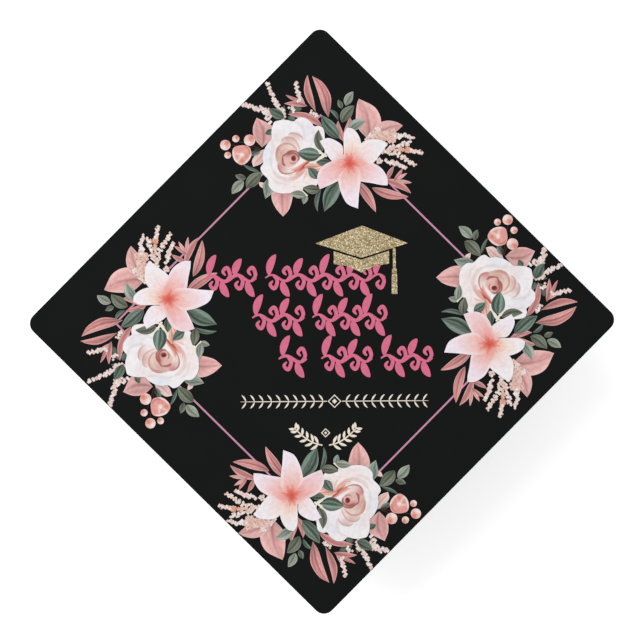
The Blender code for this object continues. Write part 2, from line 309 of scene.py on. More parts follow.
def pour(pot, grid, tones, ring=False, raised=0.0):
    pot["level"] += 1
    grid, outside = trimmed(np.asarray(grid) @ pot["spin"] + pot["shift"])
    if outside:
        return
    top = printTop + (inkLayers["lift"] + inkLayers["step"] * (pot["level"] + raised)) * mm
    foot = printTop - inkLayers["sink"] * mm
    rows = []
    for r, row in enumerate(grid):
        single = r == 0 or (r == len(grid) - 1 and not ring)
        first = len(pot["points"])
        count = 1 if single else len(row)
        for c in range(count):
            pot["points"].append((row[c][0] * mm, row[c][1] * mm, top))
            pot["tones"].append(tones[r][c])
        rows.append(list(range(first, first + count)))
    for low, high in zip(rows, rows[1:]):
        wide = max(len(low), len(high))
        for c in range(wide if ring else wide - 1):
            d = (c + 1) % wide
            corners = (low[c % len(low)], low[d % len(low)], high[d % len(high)], high[c % len(high)])
            pot["faces"].append(tuple(dict.fromkeys(corners)))
    if ring:
        rim = rows[-1]
    else:
        rim = rows[0] + [row[-1] for row in rows[1:-1]] + rows[-1] + [row[0] for row in rows[-2:0:-1]]
    first = len(pot["points"])
    for corner in rim:
        x, y, z = pot["points"][corner]
        pot["points"].append((x, y, foot))
        pot["tones"].append(pot["tones"][corner])
    for i in range(len(rim)):
        j = (i + 1) % len(rim)
        pot["faces"].append((rim[i], rim[j], first + j, first + i))
    pot["faces"].append(tuple(range(first, first + len(rim))))


def printed(pot, name, material):
    mesh = meshOf(name, pot["points"], pot["faces"], smooth=False)
    ink = mesh.color_attributes.new("ink", "FLOAT_COLOR", "POINT")
    tones = np.column_stack([np.array(pot["tones"]), np.ones(len(pot["tones"]))])
    ink.data.foreach_set("color", tones.astype(np.float32).ravel())
    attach(placed(name, mesh, material), "topper")


leafTones = {  # shaded side, lit side, rib, edge
    "dusty": ((186, 116, 116), (220, 162, 158), (148, 82, 82), (230, 184, 178)),
    "blush": ((214, 159, 156), (230, 182, 178), (176, 112, 112), (238, 198, 194)),
    "salmon": ((226, 156, 140), (243, 206, 190), (196, 108, 92), (246, 216, 202)),
    "petal": ((222, 180, 174), (236, 208, 202), (210, 156, 150), (240, 220, 214)),
    "deep": ((48, 56, 46), (94, 114, 100), (120, 136, 118), (118, 134, 120)),
    "gloss": ((64, 66, 50), (136, 162, 152), (58, 74, 64), (84, 108, 98)),
    "mist": ((112, 124, 112), (172, 184, 172), (74, 88, 78), (164, 174, 164)),
    "teal": ((56, 68, 58), (122, 140, 128), (46, 56, 48), (126, 146, 134)),
    "sage": ((114, 122, 108), (172, 180, 166), (92, 100, 86), (170, 176, 162)),
    "olive": ((76, 80, 66), (126, 132, 116), (60, 66, 54), (134, 140, 124)),
}
leafLook = {
    "leafGrid": (18, 13),  # rows along, points across
    "broadGrid": (22, 17),
    "streaks": (8.5, 0.75),  # how close, how strong
    "veins": (5.5, 1.4, 0.25),  # along, slant, how strong
    "edge": (0.7, 0.75),  # where it starts, how strong
    "rib": (0.13, 0.95, 0.8),  # width, how strong, how dark
    "baseShade": 0.3,
}


def across(count):
    return np.linspace(-1, 1, count)


def leafGrid(base, tip, width, bend=0.0, belly=0.45, fullness=0.85, rows=14, columns=7):
    base, tip = np.array(base, float), np.array(tip, float)
    run = tip - base
    left = np.array([-run[1], run[0]])
    u = np.linspace(0, 1, rows + 1)
    rib = base + u[:, None] * run + (4 * bend * u * (1 - u))[:, None] * left
    ahead = np.gradient(rib, axis=0)
    ahead /= np.linalg.norm(ahead, axis=1)[:, None]
    side = np.column_stack([-ahead[:, 1], ahead[:, 0]])
    half = width / 2 * np.sin(math.pi * u ** (math.log(0.5) / math.log(belly))).clip(0) ** fullness
    return rib[:, None] + side[:, None] * (across(columns)[None, :] * half[:, None])[..., None]


def petalGrid(base, left, right, tip, rows, columns):
    sides = [evenly(curveThrough([base, *side, tip], 90), rows + 1) for side in (right, left)]
    v = (across(columns)[None, :, None] + 1) / 2
    return sides[0][:, None] * (1 - v) + sides[1][:, None] * v


def leafPaint(grid, kind, lightSide=1, seed=0):
    dark, light, rib, edge = (linear(*tone) for tone in leafTones[kind])
    rows, columns = grid.shape[:2]
    u = np.linspace(0, 1, rows)[:, None] * np.ones(columns)
    v = across(columns)[None, :] * np.ones(rows)[:, None]
    half = smoothStep(-0.35, 0.35, v * lightSide)
    close, strong = leafLook["streaks"]
    streaks = 0.5 * strong * np.sin(v * close + seed * 2.4 + 1.5 * np.sin(u * 3 + seed))
    paint = mix(dark, light, np.clip(0.3 + 0.5 * half + streaks, -0.25, 1.2))
    along, slant, strong = leafLook["veins"]
    veins = (0.5 + 0.5 * np.sin(2 * math.pi * (u * along - np.abs(v) * slant))) ** 4
    paint = mix(paint, rib, strong * veins)
    start, strong = leafLook["edge"]
    paint = mix(paint, edge, strong * smoothStep(start, 1, np.abs(v)))
    width, strong, darkness = leafLook["rib"]
    paint = mix(paint, rib * darkness, strong * np.exp(-((v / width) ** 2)) * (1 - 0.6 * u))
    shade = 1.04 - leafLook["baseShade"] * (1 - u) ** 3 + 0.09 * np.sin(u * 5 + seed * 1.7)
    return paint * shade[..., None]


def leaf(pot, base, tip, width, kind, bend=0.0, light=1, belly=0.45, fullness=0.85):
    grid = leafGrid(base, tip, width, bend, belly, fullness, *leafLook["leafGrid"])
    pour(pot, grid, leafPaint(grid, kind, light, pot["level"]))


def broadLeaf(pot, base, left, right, tip, kind, light=1):
    grid = petalGrid(base, left, right, tip, *leafLook["broadGrid"])
    pour(pot, grid, leafPaint(grid, kind, light, pot["level"]))


def disc(pot, centre, radius, tones, lobes=0, turn=0.0, sides=12, rings=1, raised=0.0):
    angle = np.linspace(0, 2 * math.pi, sides, endpoint=False) + turn
    reach = radius * (1 + (0.22 if lobes else 0) * np.cos(lobes * angle))
    shape = np.column_stack([np.cos(angle), np.sin(angle)]) * reach[:, None]
    share = np.linspace(0, 1, rings + 1)
    grid = np.array(centre) + shape[None] * share[:, None, None]
    paint = mix(tones[0], tones[1], (share**1.5)[:, None] * np.ones(sides))
    pour(pot, grid, paint, ring=True, raised=raised)


def spray(pot, path, spread, count, size, tones, dice):
    line = curveThrough(path, 40)
    level = pot["level"]
    for i in range(count):
        at = i / (count - 1)
        place = line[int(at * 39)]
        reach = spread[0] + (spread[1] - spread[0]) * at
        angle = dice.uniform(0, 2 * math.pi)
        far = reach * math.sqrt(dice.random())
        centre = place + far * np.array([math.cos(angle), math.sin(angle)])
        shade = mix(linear(*tones[0]), linear(*tones[1]), dice.random() ** 1.3)
        radius = size * dice.uniform(0.75, 1.15)
        pot["level"] = level
        tint = (shade * 1.04, shade * 0.82)
        disc(pot, centre, radius, tint, 4, angle, sides=10, raised=3 * dice.random())
    pot["level"] = level + 4


def ribbon(pot, path, width, tone, taper=(0.0, 0.0), pieces=40):
    line = evenly(curveThrough(path, 160), pieces)
    ahead = np.gradient(line, axis=0)
    ahead /= np.linalg.norm(ahead, axis=1)[:, None]
    side = np.column_stack([-ahead[:, 1], ahead[:, 0]])
    u = np.linspace(0, 1, pieces)
    body = np.sin(math.pi * u).clip(0) ** 0.6
    ends = taper[0] + (taper[1] - taper[0]) * u
    half = width / 2 * (ends + (1 - ends) * body)
    grid = line[:, None] + side[:, None] * (across(3)[None, :] * half[:, None])[..., None]
    grid = np.concatenate([line[None, :1].repeat(3, 1), grid, line[None, -1:].repeat(3, 1)])
    shade = 1 + 0.05 * np.sin(np.arange(len(grid)) * 0.9)
    pour(pot, grid, np.broadcast_to(tone, grid.shape[:2] + (3,)) * shade[:, None, None])


def plain(pot, grid, tone, ring=False):
    pour(pot, grid, np.broadcast_to(tone, grid.shape[:2] + (3,)), ring)


def polygon(pot, outline, tone):
    outline = np.array(outline, float)
    plain(pot, np.stack([np.repeat(outline.mean(0)[None], len(outline), 0), outline]), tone, ring=True)


def squareFrame(pot, middle, inner, outer, tone):
    # Four strips of one layer, mitred where they meet.
    corners = [np.array(c) for c in ((1, 0), (0, 1), (-1, 0), (0, -1))]
    for a, b in zip(corners, corners[1:] + corners[:1]):
        polygon(pot, [middle + a * inner, middle + a * outer, middle + b * outer, middle + b * inner], tone)
        pot["level"] -= 1


# Brushes that tint the points of one layer, for the flowers.


def stroke(spots, paint, path, width, colour, strength=1.0, soft=0.8, taper=True):
    far, along = nearest(spots, curveThrough(path, 30))
    half = width / 2 * (np.sin(math.pi * along).clip(0.02) ** 0.5 if taper else 1)
    mask = strength * (1 - smoothStep(half * (1 - soft), half * (1 + soft), far))
    paint[:] = mix(paint, linear(*colour), mask)


def wash(spots, paint, centre, radii, colour, strength=1.0, soft=0.7):
    far = np.linalg.norm((spots - np.array(centre)) / np.array(radii), axis=1)
    paint[:] = mix(paint, linear(*colour), strength * (1 - smoothStep(1 - soft, 1 + soft * 0.3, far)))


def fold(spots, paint, outline, focus, reach, near, far, soft=0.35):
    closed = curveThrough(outline, 70, closed=True)
    away, _ = nearest(spots, np.vstack([closed, closed[:1]]))
    inside = np.zeros(len(spots), bool)
    for (x0, y0), (x1, y1) in zip(closed, np.roll(closed, -1, 0)):
        crosses = (y0 > spots[:, 1]) != (y1 > spots[:, 1])
        rise = np.where(abs(y1 - y0) < 1e-9, 1e-9, y1 - y0)
        inside ^= crosses & (spots[:, 0] < x0 + (spots[:, 1] - y0) * (x1 - x0) / rise)
    mask = smoothStep(-soft, soft, np.where(inside, away, -away))
    share = smoothStep(0, reach, np.linalg.norm(spots - np.array(focus), axis=1))
    paint[:] = mix(paint, mix(linear(*near), linear(*far), share), mask)


def ringsOf(outline, sides, rings, fine=160):
    rim = evenly(np.vstack([curveThrough(outline, fine, closed=True), outline[:1]]), sides + 1)[:-1]
    return rim[None] * np.linspace(0, 1, rings + 1)[:, None, None]


def painted(grid, tone, marks):
    # The tones of a layer that starts in one tone and takes each brush mark in turn.
    spots = grid.reshape(-1, 2)
    paint = np.tile(linear(*tone), (len(spots), 1))
    for brush, *values in marks:
        brush(spots, paint, *values)
    return paint.reshape(*grid.shape[:2], 3)


roseShape = {
    "heart": (-15.2, 1.5),
    "outline": [
        (-11.0, 20.0), (-8.2, 21.2), (-4.1, 21.5), (0.0, 20.6), (1.6, 21.8), (3.5, 22.8), (6.6, 22.5),
        (9.7, 20.3), (11.6, 17.8), (13.8, 18.1), (16.5, 16.8), (17.4, 12.7), (17.0, 7.1), (14.8, 2.7),
        (12.3, -1.1), (9.7, -4.2), (11.3, -8.3), (13.2, -12.1), (12.4, -15.4), (5.7, -16.0), (5.0, -17.6),
        (1.6, -19.0), (-2.8, -19.5), (-7.9, -19.5), (-11.6, -18.1), (-14.1, -15.2), (-14.3, -11.8),
        (-17.6, -8.2), (-18.6, -5.2), (-17.0, -2.4), (-17.3, 1.4), (-16.3, 5.2), (-14.3, 8.6),
        (-12.3, 10.8), (-12.3, 15.2),
    ],
    "petal": (243, 239, 241),
    "rings": 60,
    "sides": 200,
    "marks": [  # from the outer petals to the heart, then strokes that run down from its right
        (wash, (-14.8, 1.4), (4.0, 9.0), (228, 233, 240), 0.8),
        (wash, (-14.5, -7.0), (5.0, 5.0), (244, 238, 238), 0.8),
        (wash, (-8.5, 12.4), (5.5, 4.5), (234, 220, 220), 0.6),
        (wash, (-11.0, 7.0), (3.0, 5.0), (238, 226, 226), 0.6),
        (wash, (8.5, 15.6), (4.5, 7.0), (232, 228, 235), 0.7),
        (stroke, [(0.3, 20.1), (3.5, 19.2), (5.3, 16.5), (6.0, 12.7), (5.7, 9.6)], 1.8, (222, 214, 219),
         0.7),
        (stroke, [(11.0, 17.5), (11.4, 12.0), (9.5, 6.0)], 1.6, (226, 218, 224), 0.6),
        (stroke, [(-12.0, 10.5), (-11.6, 5.0), (-12.8, -1.0), (-12.0, -6.0)], 1.8, (226, 216, 220),
         0.7),
        (wash, (-2.2, -14.9), (10.0, 4.5), (243, 227, 224), 0.7),
        (wash, (9.0, -11.0), (5.0, 5.0), (242, 228, 225), 0.7),
        (stroke, [(-11.9, -5.8), (-10.1, -9.0), (-6.6, -11.2), (-2.2, -11.9), (2.2, -11.2)], 2.4,
         (226, 204, 200), 0.8),
        (stroke, [(-13.4, -10.0), (-9.5, -13.2), (-4.0, -14.6)], 1.6, (232, 214, 211), 0.7),
        (fold, [(-3.1, 13.0), (-1.6, 14.0), (0.3, 14.2), (2.8, 13.5), (4.7, 11.8), (5.3, 9.3), (5.0, 6.4),
         (2.5, 4.6), (0.3, 7.1), (-1.6, 10.2)], (1.2, 14.6), 6.5, (216, 180, 176), (243, 230, 228)),
        (stroke, [(-3.3, 13.0), (-1.6, 14.0), (0.3, 14.2), (2.8, 13.5), (4.7, 11.8), (5.3, 9.6)], 0.8,
         (196, 158, 154), 0.85),
        (fold, [(-6.9, 9.0), (-6.3, 10.5), (-4.7, 11.7), (-2.8, 11.9), (-0.6, 11.3), (1.3, 9.6), (2.8, 7.1),
         (3.8, 4.6), (0.3, 3.3), (-4.1, 5.8)], (-2.6, 12.4), 6.5, (212, 176, 168), (240, 218, 213)),
        (stroke, [(-7.1, 9.0), (-6.3, 10.5), (-4.7, 11.7), (-2.8, 11.9), (-0.6, 11.3), (1.3, 9.6),
         (2.7, 7.1), (3.5, 5.2)], 0.8, (198, 158, 150), 0.85),
        (fold, [(-10.1, 0.8), (-9.8, 3.9), (-8.5, 6.4), (-6.3, 7.9), (-4.1, 8.2), (-1.6, 7.9), (0.6, 6.4),
         (2.2, 4.2), (2.8, 0.8), (1.6, -2.4), (-2.8, -4.9), (-7.5, -4.2), (-9.4, -2.0)], (-9.9, 3.6), 9.0,
         (204, 150, 142), (236, 210, 200)),
        (wash, (-8.4, -0.6), (1.5, 4.0), (206, 176, 158), 0.5),
        (wash, (-4.8, 5.0), (3.0, 1.2), (216, 190, 170), 0.45),
        (stroke, [(-8.4, 1.0), (-7.6, 4.2), (-5.2, 6.0), (-2.2, 6.0)], 0.9, (238, 214, 204), 0.5),
        (stroke, [(-10.1, 0.8), (-9.8, 3.9), (-8.5, 6.4), (-6.3, 7.9), (-4.1, 8.2), (-1.6, 7.9),
         (0.6, 6.3), (1.9, 4.6)], 0.9, (194, 134, 122), 0.85),
        (fold, [(-9.0, -3.3), (-8.5, -2.4), (-6.6, -2.4), (-4.1, -4.2), (0.3, -4.9), (5.3, -3.3),
         (4.7, -5.8), (2.2, -7.4), (-0.9, -8.5), (-4.1, -8.8), (-6.9, -8.0), (-8.5, -5.8)], (-8.5, -5.0),
         6.5, (206, 144, 144), (238, 218, 212)),
        (stroke, [(-9.0, -3.3), (-8.5, -5.8), (-6.9, -7.9), (-4.4, -8.7), (-1.6, -8.5), (0.9, -7.4),
         (3.5, -5.5)], 0.9, (176, 98, 96), 0.9),
        (stroke, [(6.6, -4.2), (3.5, -7.4), (0.3, -8.6), (-4.1, -9.8), (-7.9, -8.6), (-10.1, -5.8)],
         1.1, (250, 242, 238), 0.75),
        (fold, [(-6.3, -0.2), (-5.8, 1.6), (-4.1, 2.5), (-3.0, 3.6), (-0.9, 4.2), (1.4, 3.8), (3.0, 2.0),
         (3.5, -0.2), (2.2, -2.4), (0.0, -4.2), (-2.8, -4.9), (-5.0, -3.9), (-6.1, -2.0)], (-3.4, 4.2), 6.0,
         (172, 92, 86), (230, 190, 182)),
        (stroke, [(-6.3, -1.4), (-6.3, 0.5), (-5.7, 1.7), (-4.1, 2.6), (-2.8, 3.7), (-0.9, 4.2),
         (1.4, 3.8), (2.9, 2.0), (3.0, -0.2)], 0.9, (150, 70, 66), 0.9),
        (stroke, [(-6.2, 0.6), (-6.1, -2.4), (-4.7, -4.4)], 1.4, (156, 76, 72), 0.9),
        (wash, (-3.2, -1.0), (2.0, 1.8), (228, 184, 174), 0.7),
        (stroke, [(-3.6, 1.7), (-1.6, 2.7), (0.3, 2.8), (2.2, 1.4), (2.8, -0.2), (1.9, -1.7)], 1.3,
         (164, 84, 76), 0.9),
        (stroke, [(-2.5, -2.0), (-1.3, -2.9), (0.3, -2.8), (1.7, -1.9)], 0.7, (180, 102, 92), 0.9),
        (wash, (0, 0), (1.6, 1.9), (112, 36, 32), 1.0, 0.35),
        (stroke, [(-0.8, 1.1), (0.3, 0.8), (0.8, -0.2), (0.2, -0.9)], 0.4, (168, 82, 74), 0.8),
        (stroke, [(8.6, -1.2), (6.2, -2.6), (3.6, -4.6), (0.8, -6.2), (-1.6, -6.6)], 1.5,
         (222, 150, 134), 0.8),
        (stroke, [(9.3, -1.7), (6.6, -3.3), (4.1, -5.5), (1.6, -6.8), (0.0, -7.1)], 1.5,
         (214, 126, 106), 0.85),
        (stroke, [(8.9, -1.6), (6.4, -3.9), (4.5, -6.1), (2.6, -8.1), (0.6, -9.4)], 2.2, (204, 104, 84),
         0.85),
        (stroke, [(8.5, -1.7), (6.6, -3.8), (5.2, -5.6), (3.6, -7.4)], 1.5, (184, 72, 54), 0.95),
        (stroke, [(6.9, -5.4), (4.9, -8.1), (1.6, -10.2), (-2.2, -10.7)], 1.1, (222, 156, 140), 0.85),
        (stroke, [(5.6, -5.8), (3.2, -8.0), (0.2, -9.3), (-3.4, -9.9)], 0.7, (238, 196, 184), 0.8),
        (stroke, [(6.4, -7.0), (3.7, -9.8), (0.3, -11.5), (-2.8, -11.8)], 0.9, (228, 178, 164), 0.8),
        (stroke, [(7.4, -4.4), (6.8, -9.0), (5.3, -12.0)], 1.2, (232, 180, 164), 0.75),
        (stroke, [(7.8, -4.6), (8.2, -8.0), (8.0, -11.0)], 1.0, (238, 200, 190), 0.7),
        (stroke, [(8.3, -6.0), (8.8, -10.2), (10.6, -13.7)], 1.6, (240, 216, 210), 0.75),
        (stroke, [(0.8, -13.6), (4.6, -13.0), (9.0, -14.4)], 1.4, (240, 222, 219), 0.6),
    ],
}


def rose(pot):
    grid = ringsOf(roseShape["outline"], roseShape["sides"], roseShape["rings"], 400)
    paint = painted(grid, roseShape["petal"], roseShape["marks"])
    pour(pot, grid + np.array(roseShape["heart"]), paint, ring=True)


lilyShape = {
    "middle": (16.1, -1.4),
    "petals": [  # left edge, right edge, tip, tone by the middle, tone at the tip
        ([(3.7, 4.4), (5.9, 10.2), (10.2, 13.0), (16.1, 13.0), (19.8, 11.7)],
         [(5.9, -2.9), (11.0, -0.7), (13.9, 0.7), (19.0, 7.3)], (21.2, 10.1),
         (245, 226, 222), (241, 238, 241)),
        ([(-5.1, 0.7), (-9.5, 1.1), (-12.4, 4.4), (-14.6, 8.8)],
         [(-3.3, 3.7), (-4.0, 9.5), (-8.1, 12.8), (-12.4, 14.1)], (-16.7, 12.4),
         (243, 234, 232), (243, 233, 243)),
        ([(-2.9, 3.7), (-3.3, 9.5), (-3.1, 16.1)],
         [(4.0, 3.7), (6.4, 10.2), (5.1, 15.4), (2.2, 19.0)], (-1.3, 19.8),
         (246, 224, 206), (244, 237, 241)),
        ([(5.9, 3.7), (11.7, 0.7), (17.6, -2.9), (20.9, -8.1)],
         [(1.5, -8.1), (5.9, -10.2), (12.4, -11.3), (17.6, -12.4)], (21.2, -12.6),
         (240, 186, 178), (243, 229, 238)),
        ([(-2.2, -7.3), (-6.6, -9.9), (-11.0, -12.1)],
         [(-5.9, 2.2), (-10.2, 1.1), (-15.4, -1.8), (-17.9, -6.2), (-18.1, -10.2)], (-16.8, -14.5),
         (240, 184, 180), (243, 212, 218)),
        ([(5.5, -3.7), (6.0, -10.2), (5.1, -17.6)],
         [(-6.2, -7.3), (-6.2, -11.7), (-4.8, -16.8), (-1.5, -22.7)], (4.5, -25.5),
         (243, 200, 194), (242, 233, 243)),
    ],
}


def lily(pot):
    middle = np.array(lilyShape["middle"])
    disc(pot, middle, 6.0, (linear(226, 110, 94), linear(246, 222, 218)), sides=40, rings=8)
    for index, (left, right, tip, inner, outer) in enumerate(lilyShape["petals"]):
        grid = petalGrid((0, 0), left, right, tip, 44, 25)
        rows, columns = grid.shape[:2]
        spots = grid.reshape(-1, 2)
        u = np.repeat(np.linspace(0, 1, rows), columns)
        v = np.tile(across(columns), rows)
        paint = mix(linear(*inner), linear(*outer), smoothStep(0.25, 0.85, u))
        paint = mix(paint, linear(246, 240, 246), 0.65 * smoothStep(0.6, 1, np.abs(v)))
        paint = mix(paint, linear(236, 206, 204), 0.35 * np.exp(-((v / 0.1) ** 2)) * smoothStep(1, 0.4, u))
        streaks = (0.5 + 0.5 * np.sin(v * 16 + index)) * smoothStep(0.75, 0.2, u)
        paint = mix(paint, linear(238, 176, 166), 0.3 * streaks)
        wash(spots, paint, (0, 0), (8.2, 8.2), (238, 148, 134), 0.85, 0.95)
        for k in range(5):
            turn = math.atan2(tip[1], tip[0]) + (k - 2) * 0.27
            end = (4.2 + 1.9 * (k % 2)) * np.array([math.cos(turn), math.sin(turn)])
            stroke(spots, paint, [(0, 0), end * 0.5, end], 1.1, (222, 112, 98), 0.6)
        wash(spots, paint, (0, 0), (3.2, 3.2), (216, 88, 72), 0.9, 0.9)
        pour(pot, grid + middle, paint.reshape(rows, columns, 3))


pinkLine = {"apothem": 81.7, "width": 1.0, "level": 0, "tone": (200, 142, 169)}  # under every leaf

bouquetShape = {
    "reach": 90.0,  # mm from the board's middle to each bouquet's own middle
    "places": {  # turn in degrees, then a shift in mm
        "back": (0, (0.0, 0.0)),
        "right": (-90, (5.1, 2.9)),
        "front": (180, (-1.6, -8.6)),
        "left": (90, (2.8, -2.8)),
    },
}
stemTone = linear(238, 230, 216)
bouquetLeaves = {  # leaf: base, tip, width, tone, bend; broadLeaf: base, two sides, tip, tone, lit side
    "lowest": [
        (leaf, (19.6, -11.4), (30.5, -28.9), 5.4, "dusty", 0.05),
        (leaf, (28.5, -15.2), (48.9, -20.4), 5.2, "dusty", -0.06),
        (leaf, (35.5, -11.0), (50.4, -18.6), 4.0, "dusty", 0.08),
        (leaf, (36.9, -11.2), (41.0, -3.2), 2.7, "dusty", 0.05),
        (leaf, (40.7, -11.6), (45.7, -4.5), 2.2, "dusty", -0.04),
        (leaf, (42.0, -11.4), (48.3, -7.2), 1.9, "blush", 0.03),
        (leaf, (42.6, -11.4), (50.8, -12.6), 2.0, "blush"),
    ],
    "behind": [
        (broadLeaf, (-2.6, 27.2), [(-7.1, 33.2), (-9.2, 39.1), (-8.5, 44.9)], [(-3.8, 34.6), (-5.7, 42.0)],
         (-7.1, 48.1), "dusty", -1),
        (broadLeaf, (4.4, 24.3), [(1.3, 29.5), (-1.2, 37.6)], [(5.9, 31.7), (5.4, 37.5), (1.1, 44.1)],
         (-4.6, 47.5), "dusty"),
        (leaf, (-8.4, 31.0), (-13.6, 39.9), 2.0, "blush", 0.03),
        (leaf, (-10.2, 33.4), (-19.4, 37.1), 2.0, "dusty", 0.05),
        (leaf, (-7.4, 30.8), (-20.3, 32.2), 3.0, "dusty", -0.04),
        (broadLeaf, (26.1, 12.1), [(20.3, 19.1), (19.8, 25.7), (20.4, 31.5)], [(32.7, 16.8), (33.7, 23.4),
         (30.2, 30.0)], (21.5, 34.6), "blush", -1),
        (broadLeaf, (27.5, 11.7), [(31.0, 19.6), (36.8, 22.2), (42.6, 21.4)], [(35.2, 12.0), (41.1, 15.2)],
         (46.0, 19.4), "blush"),
        (broadLeaf, (-32.9, 7.8), [(-37.2, 12.9), (-37.9, 18.8)], [(-27.0, 12.9), (-26.9, 19.4)],
         (-35.8, 24.4), "blush", -1),
        (broadLeaf, (-21.7, -12.0), [(-27.2, -17.0), (-27.6, -21.4), (-25.2, -26.6)], [(-16.0, -17.0),
         (-16.2, -21.4), (-18.0, -27.0)], (-21.4, -31.0), "blush"),
        (leaf, (13.2, 11.0), (9.9, 22.4), 3.6, "dusty", 0.1),
        (leaf, (12.4, 10.5), (16.4, 24.7), 4.4, "dusty", -0.08),
        (broadLeaf, (-31.0, 7.0), [(-34.6, 5.3), (-38.4, 0.9)], [(-30.6, 2.0), (-33.6, -1.4)],
         (-37.9, -3.1), "petal"),
        (leaf, (-31.0, -14.8), (-34.9, -11.7), 2.8, "petal"),
        (leaf, (-33.6, 6.4), (-39.4, 3.2), 3.2, "teal"),
        (leaf, (-34.6, -5.6), (-43.6, -1.6), 1.9, "teal", 0.06),
        (leaf, (-42.0, -9.4), (-48.0, -7.6), 3.4, "olive", 0.05),
        (leaf, (-41.6, -15.0), (-33.0, -6.2), 6.6, "olive", 0.05),
        (leaf, (-43.2, -11.0), (-49.9, -18.2), 5.4, "sage", -0.05),
        (broadLeaf, (-29.0, -8.8), [(-27.0, -13.0), (-27.3, -17.6)], [(-32.4, -13.0), (-32.2, -17.0)],
         (-31.2, -21.0), "mist"),
        (leaf, (9.8, 22.8), (4.4, 28.7), 2.2, "teal", -0.14),
        (leaf, (12.0, 21.4), (19.0, 30.7), 6.2, "olive", 0.08),
        (leaf, (12.0, 29.2), (9.9, 34.2), 3.0, "olive"),
        (leaf, (14.2, 30.8), (18.4, 38.6), 4.8, "sage", 0.06),
        (leaf, (15.6, 17.0), (25.2, 22.2), 5.8, "mist", 0.08),
        (leaf, (10.4, 12.6), (0.5, 25.5), 7.0, "teal", 0.03, -1),
        (leaf, (-17.6, 26.0), (-10.4, 29.4), 4.0, "deep", 0.05),
        (leaf, (-19.8, 26.4), (-20.4, 31.2), 1.4, "deep", 0.05),
        (leaf, (-18.4, 24.4), (-13.8, 22.8), 3.4, "deep"),
        (leaf, (0.8, 19.4), (-18.4, 26.1), 4.4, "dusty", -0.1),
        (leaf, (-8.4, -18.6), (-9.9, -24.2), 3.4, "sage"),
        (leaf, (0.0, -15.8), (-2.0, -28.4), 2.5, "teal", -0.12),
        (broadLeaf, (10.6, -9.4), [(3.4, -14.6), (0.9, -20.4)], [(10.7, -17.0), (7.4, -23.6)], (1.7, -28.4),
         "teal", -1),
        (leaf, (-26.6, 17.2), (-31.0, 15.2), 3.4, "deep"),
    ],
    "front": [
        (leaf, (-9.4, -3.4), (1.4, -2.6), 4.2, "salmon", 0.0),
        (leaf, (-5.0, -5.6), (1.6, -3.0), 2.2, "salmon", -0.05),
        (ribbon, [(-3.6, 8.4), (-1.6, 6.0), (0.6, 4.0), (3.4, 2.4)], 1.3, stemTone, (0.3, 0.9)),
        (ribbon, [(2.6, 3.6), (-0.6, 1.2), (-4.0, -1.4)], 1.9, stemTone, (0.8, 0.2)),
        (ribbon, [(1.8, 9.4), (2.6, 6.2), (2.4, 3.4)], 0.9, stemTone, (0.3, 0.9)),
        (leaf, (-20.4, 24.2), (-28.8, 29.4), 5.5, "deep", 0.03),
        (leaf, (1.1, 5.4), (-1.1, 17.4), 5.2, "olive", 0.1, -1),
        (leaf, (-0.6, 3.2), (-13.2, 4.6), 7.8, "gloss", 0.02, -1, 0.42, 0.75),
        (leaf, (5.4, -0.5), (-2.7, -0.7), 4.6, "deep", 0.05),
        (leaf, (-2.2, -10.2), (-7.2, -3.8), 5.2, "teal", -0.04),
        (ribbon, [(-12.6, -14.6), (-10.4, -17.0), (-7.6, -19.6)], 0.9, stemTone, (0.3, 0.9)),
        (leaf, (-8.6, -19.6), (-17.4, -18.2), 4.5, "sage", -0.03),
        (leaf, (-0.4, -16.2), (-10.2, -15.0), 5.2, "olive", 0.03),
    ],
}
paleSeed = ((250, 242, 238), (236, 200, 192))
peachSeed = ((244, 214, 202), (226, 176, 162))
seedSprays = [  # path, how far seeds stray at its start and end, seeds, seed radius, tones
    ([(-26.9, 25.7), (-34.9, 29.7), (-43.3, 31.8)], (2.7, 0.6), 66, 0.85, paleSeed),
    ([(-28.4, 22.2), (-30.0, 25.5)], (1.6, 1.2), 12, 0.85, paleSeed),
    ([(-20.0, 24.0), (-24.6, 32.6), (-29.7, 43.6)], (1.9, 0.8), 48, 0.85, paleSeed),
    ([(-11.8, 33.6), (-12.7, 39.1), (-13.7, 44.6)], (1.3, 0.9), 22, 0.85, paleSeed),
    ([(-16.6, 30.0), (-15.0, 27.6)], (1.3, 0.8), 7, 0.8, paleSeed),
    ([(-5.4, 27.4), (-1.8, 25.2)], (1.0, 0.6), 9, 0.8, paleSeed),
    ([(27.2, 11.2), (29.8, 15.1), (32.9, 18.4)], (2.2, 1.2), 40, 0.7, paleSeed),
    ([(29.5, 11.5), (35.2, 13.6), (41.8, 14.9)], (3.8, 2.6), 150, 0.72, peachSeed),
    ([(36.5, 10.4), (42.2, 11.0)], (2.4, 1.6), 34, 0.7, peachSeed),
    ([(41.8, 12.4), (46.9, 14.2), (51.7, 11.9)], (1.6, 0.8), 30, 0.75, paleSeed),
    ([(38.1, 6.5), (44.7, 8.7), (50.2, 9.8)], (1.6, 1.3), 38, 0.75, paleSeed),
    ([(33.0, 5.2), (40.3, 6.2), (47.0, 5.9), (56.8, 4.2)], (1.8, 0.8), 58, 0.72, peachSeed),
    ([(46.5, 6.4), (50.5, 5.6)], (1.2, 1.0), 12, 0.75, ((240, 190, 166), (226, 148, 118))),
    ([(50.5, 5.4), (56.8, 4.2)], (1.1, 0.7), 16, 0.78, paleSeed),
    ([(35.2, 5.4), (43.2, 3.4), (48.3, -0.1), (52.9, -2.9)], (1.8, 0.7), 58, 0.72, ((250, 236, 226),
     (236, 198, 186))),
    ([(30.0, 0.2), (38.1, -0.8), (43.2, -2.3), (47.4, -4.3)], (1.9, 0.7), 58, 0.75, paleSeed),
]


def drawn(pot, rows):
    for shape, *values in rows:
        shape(pot, *values)


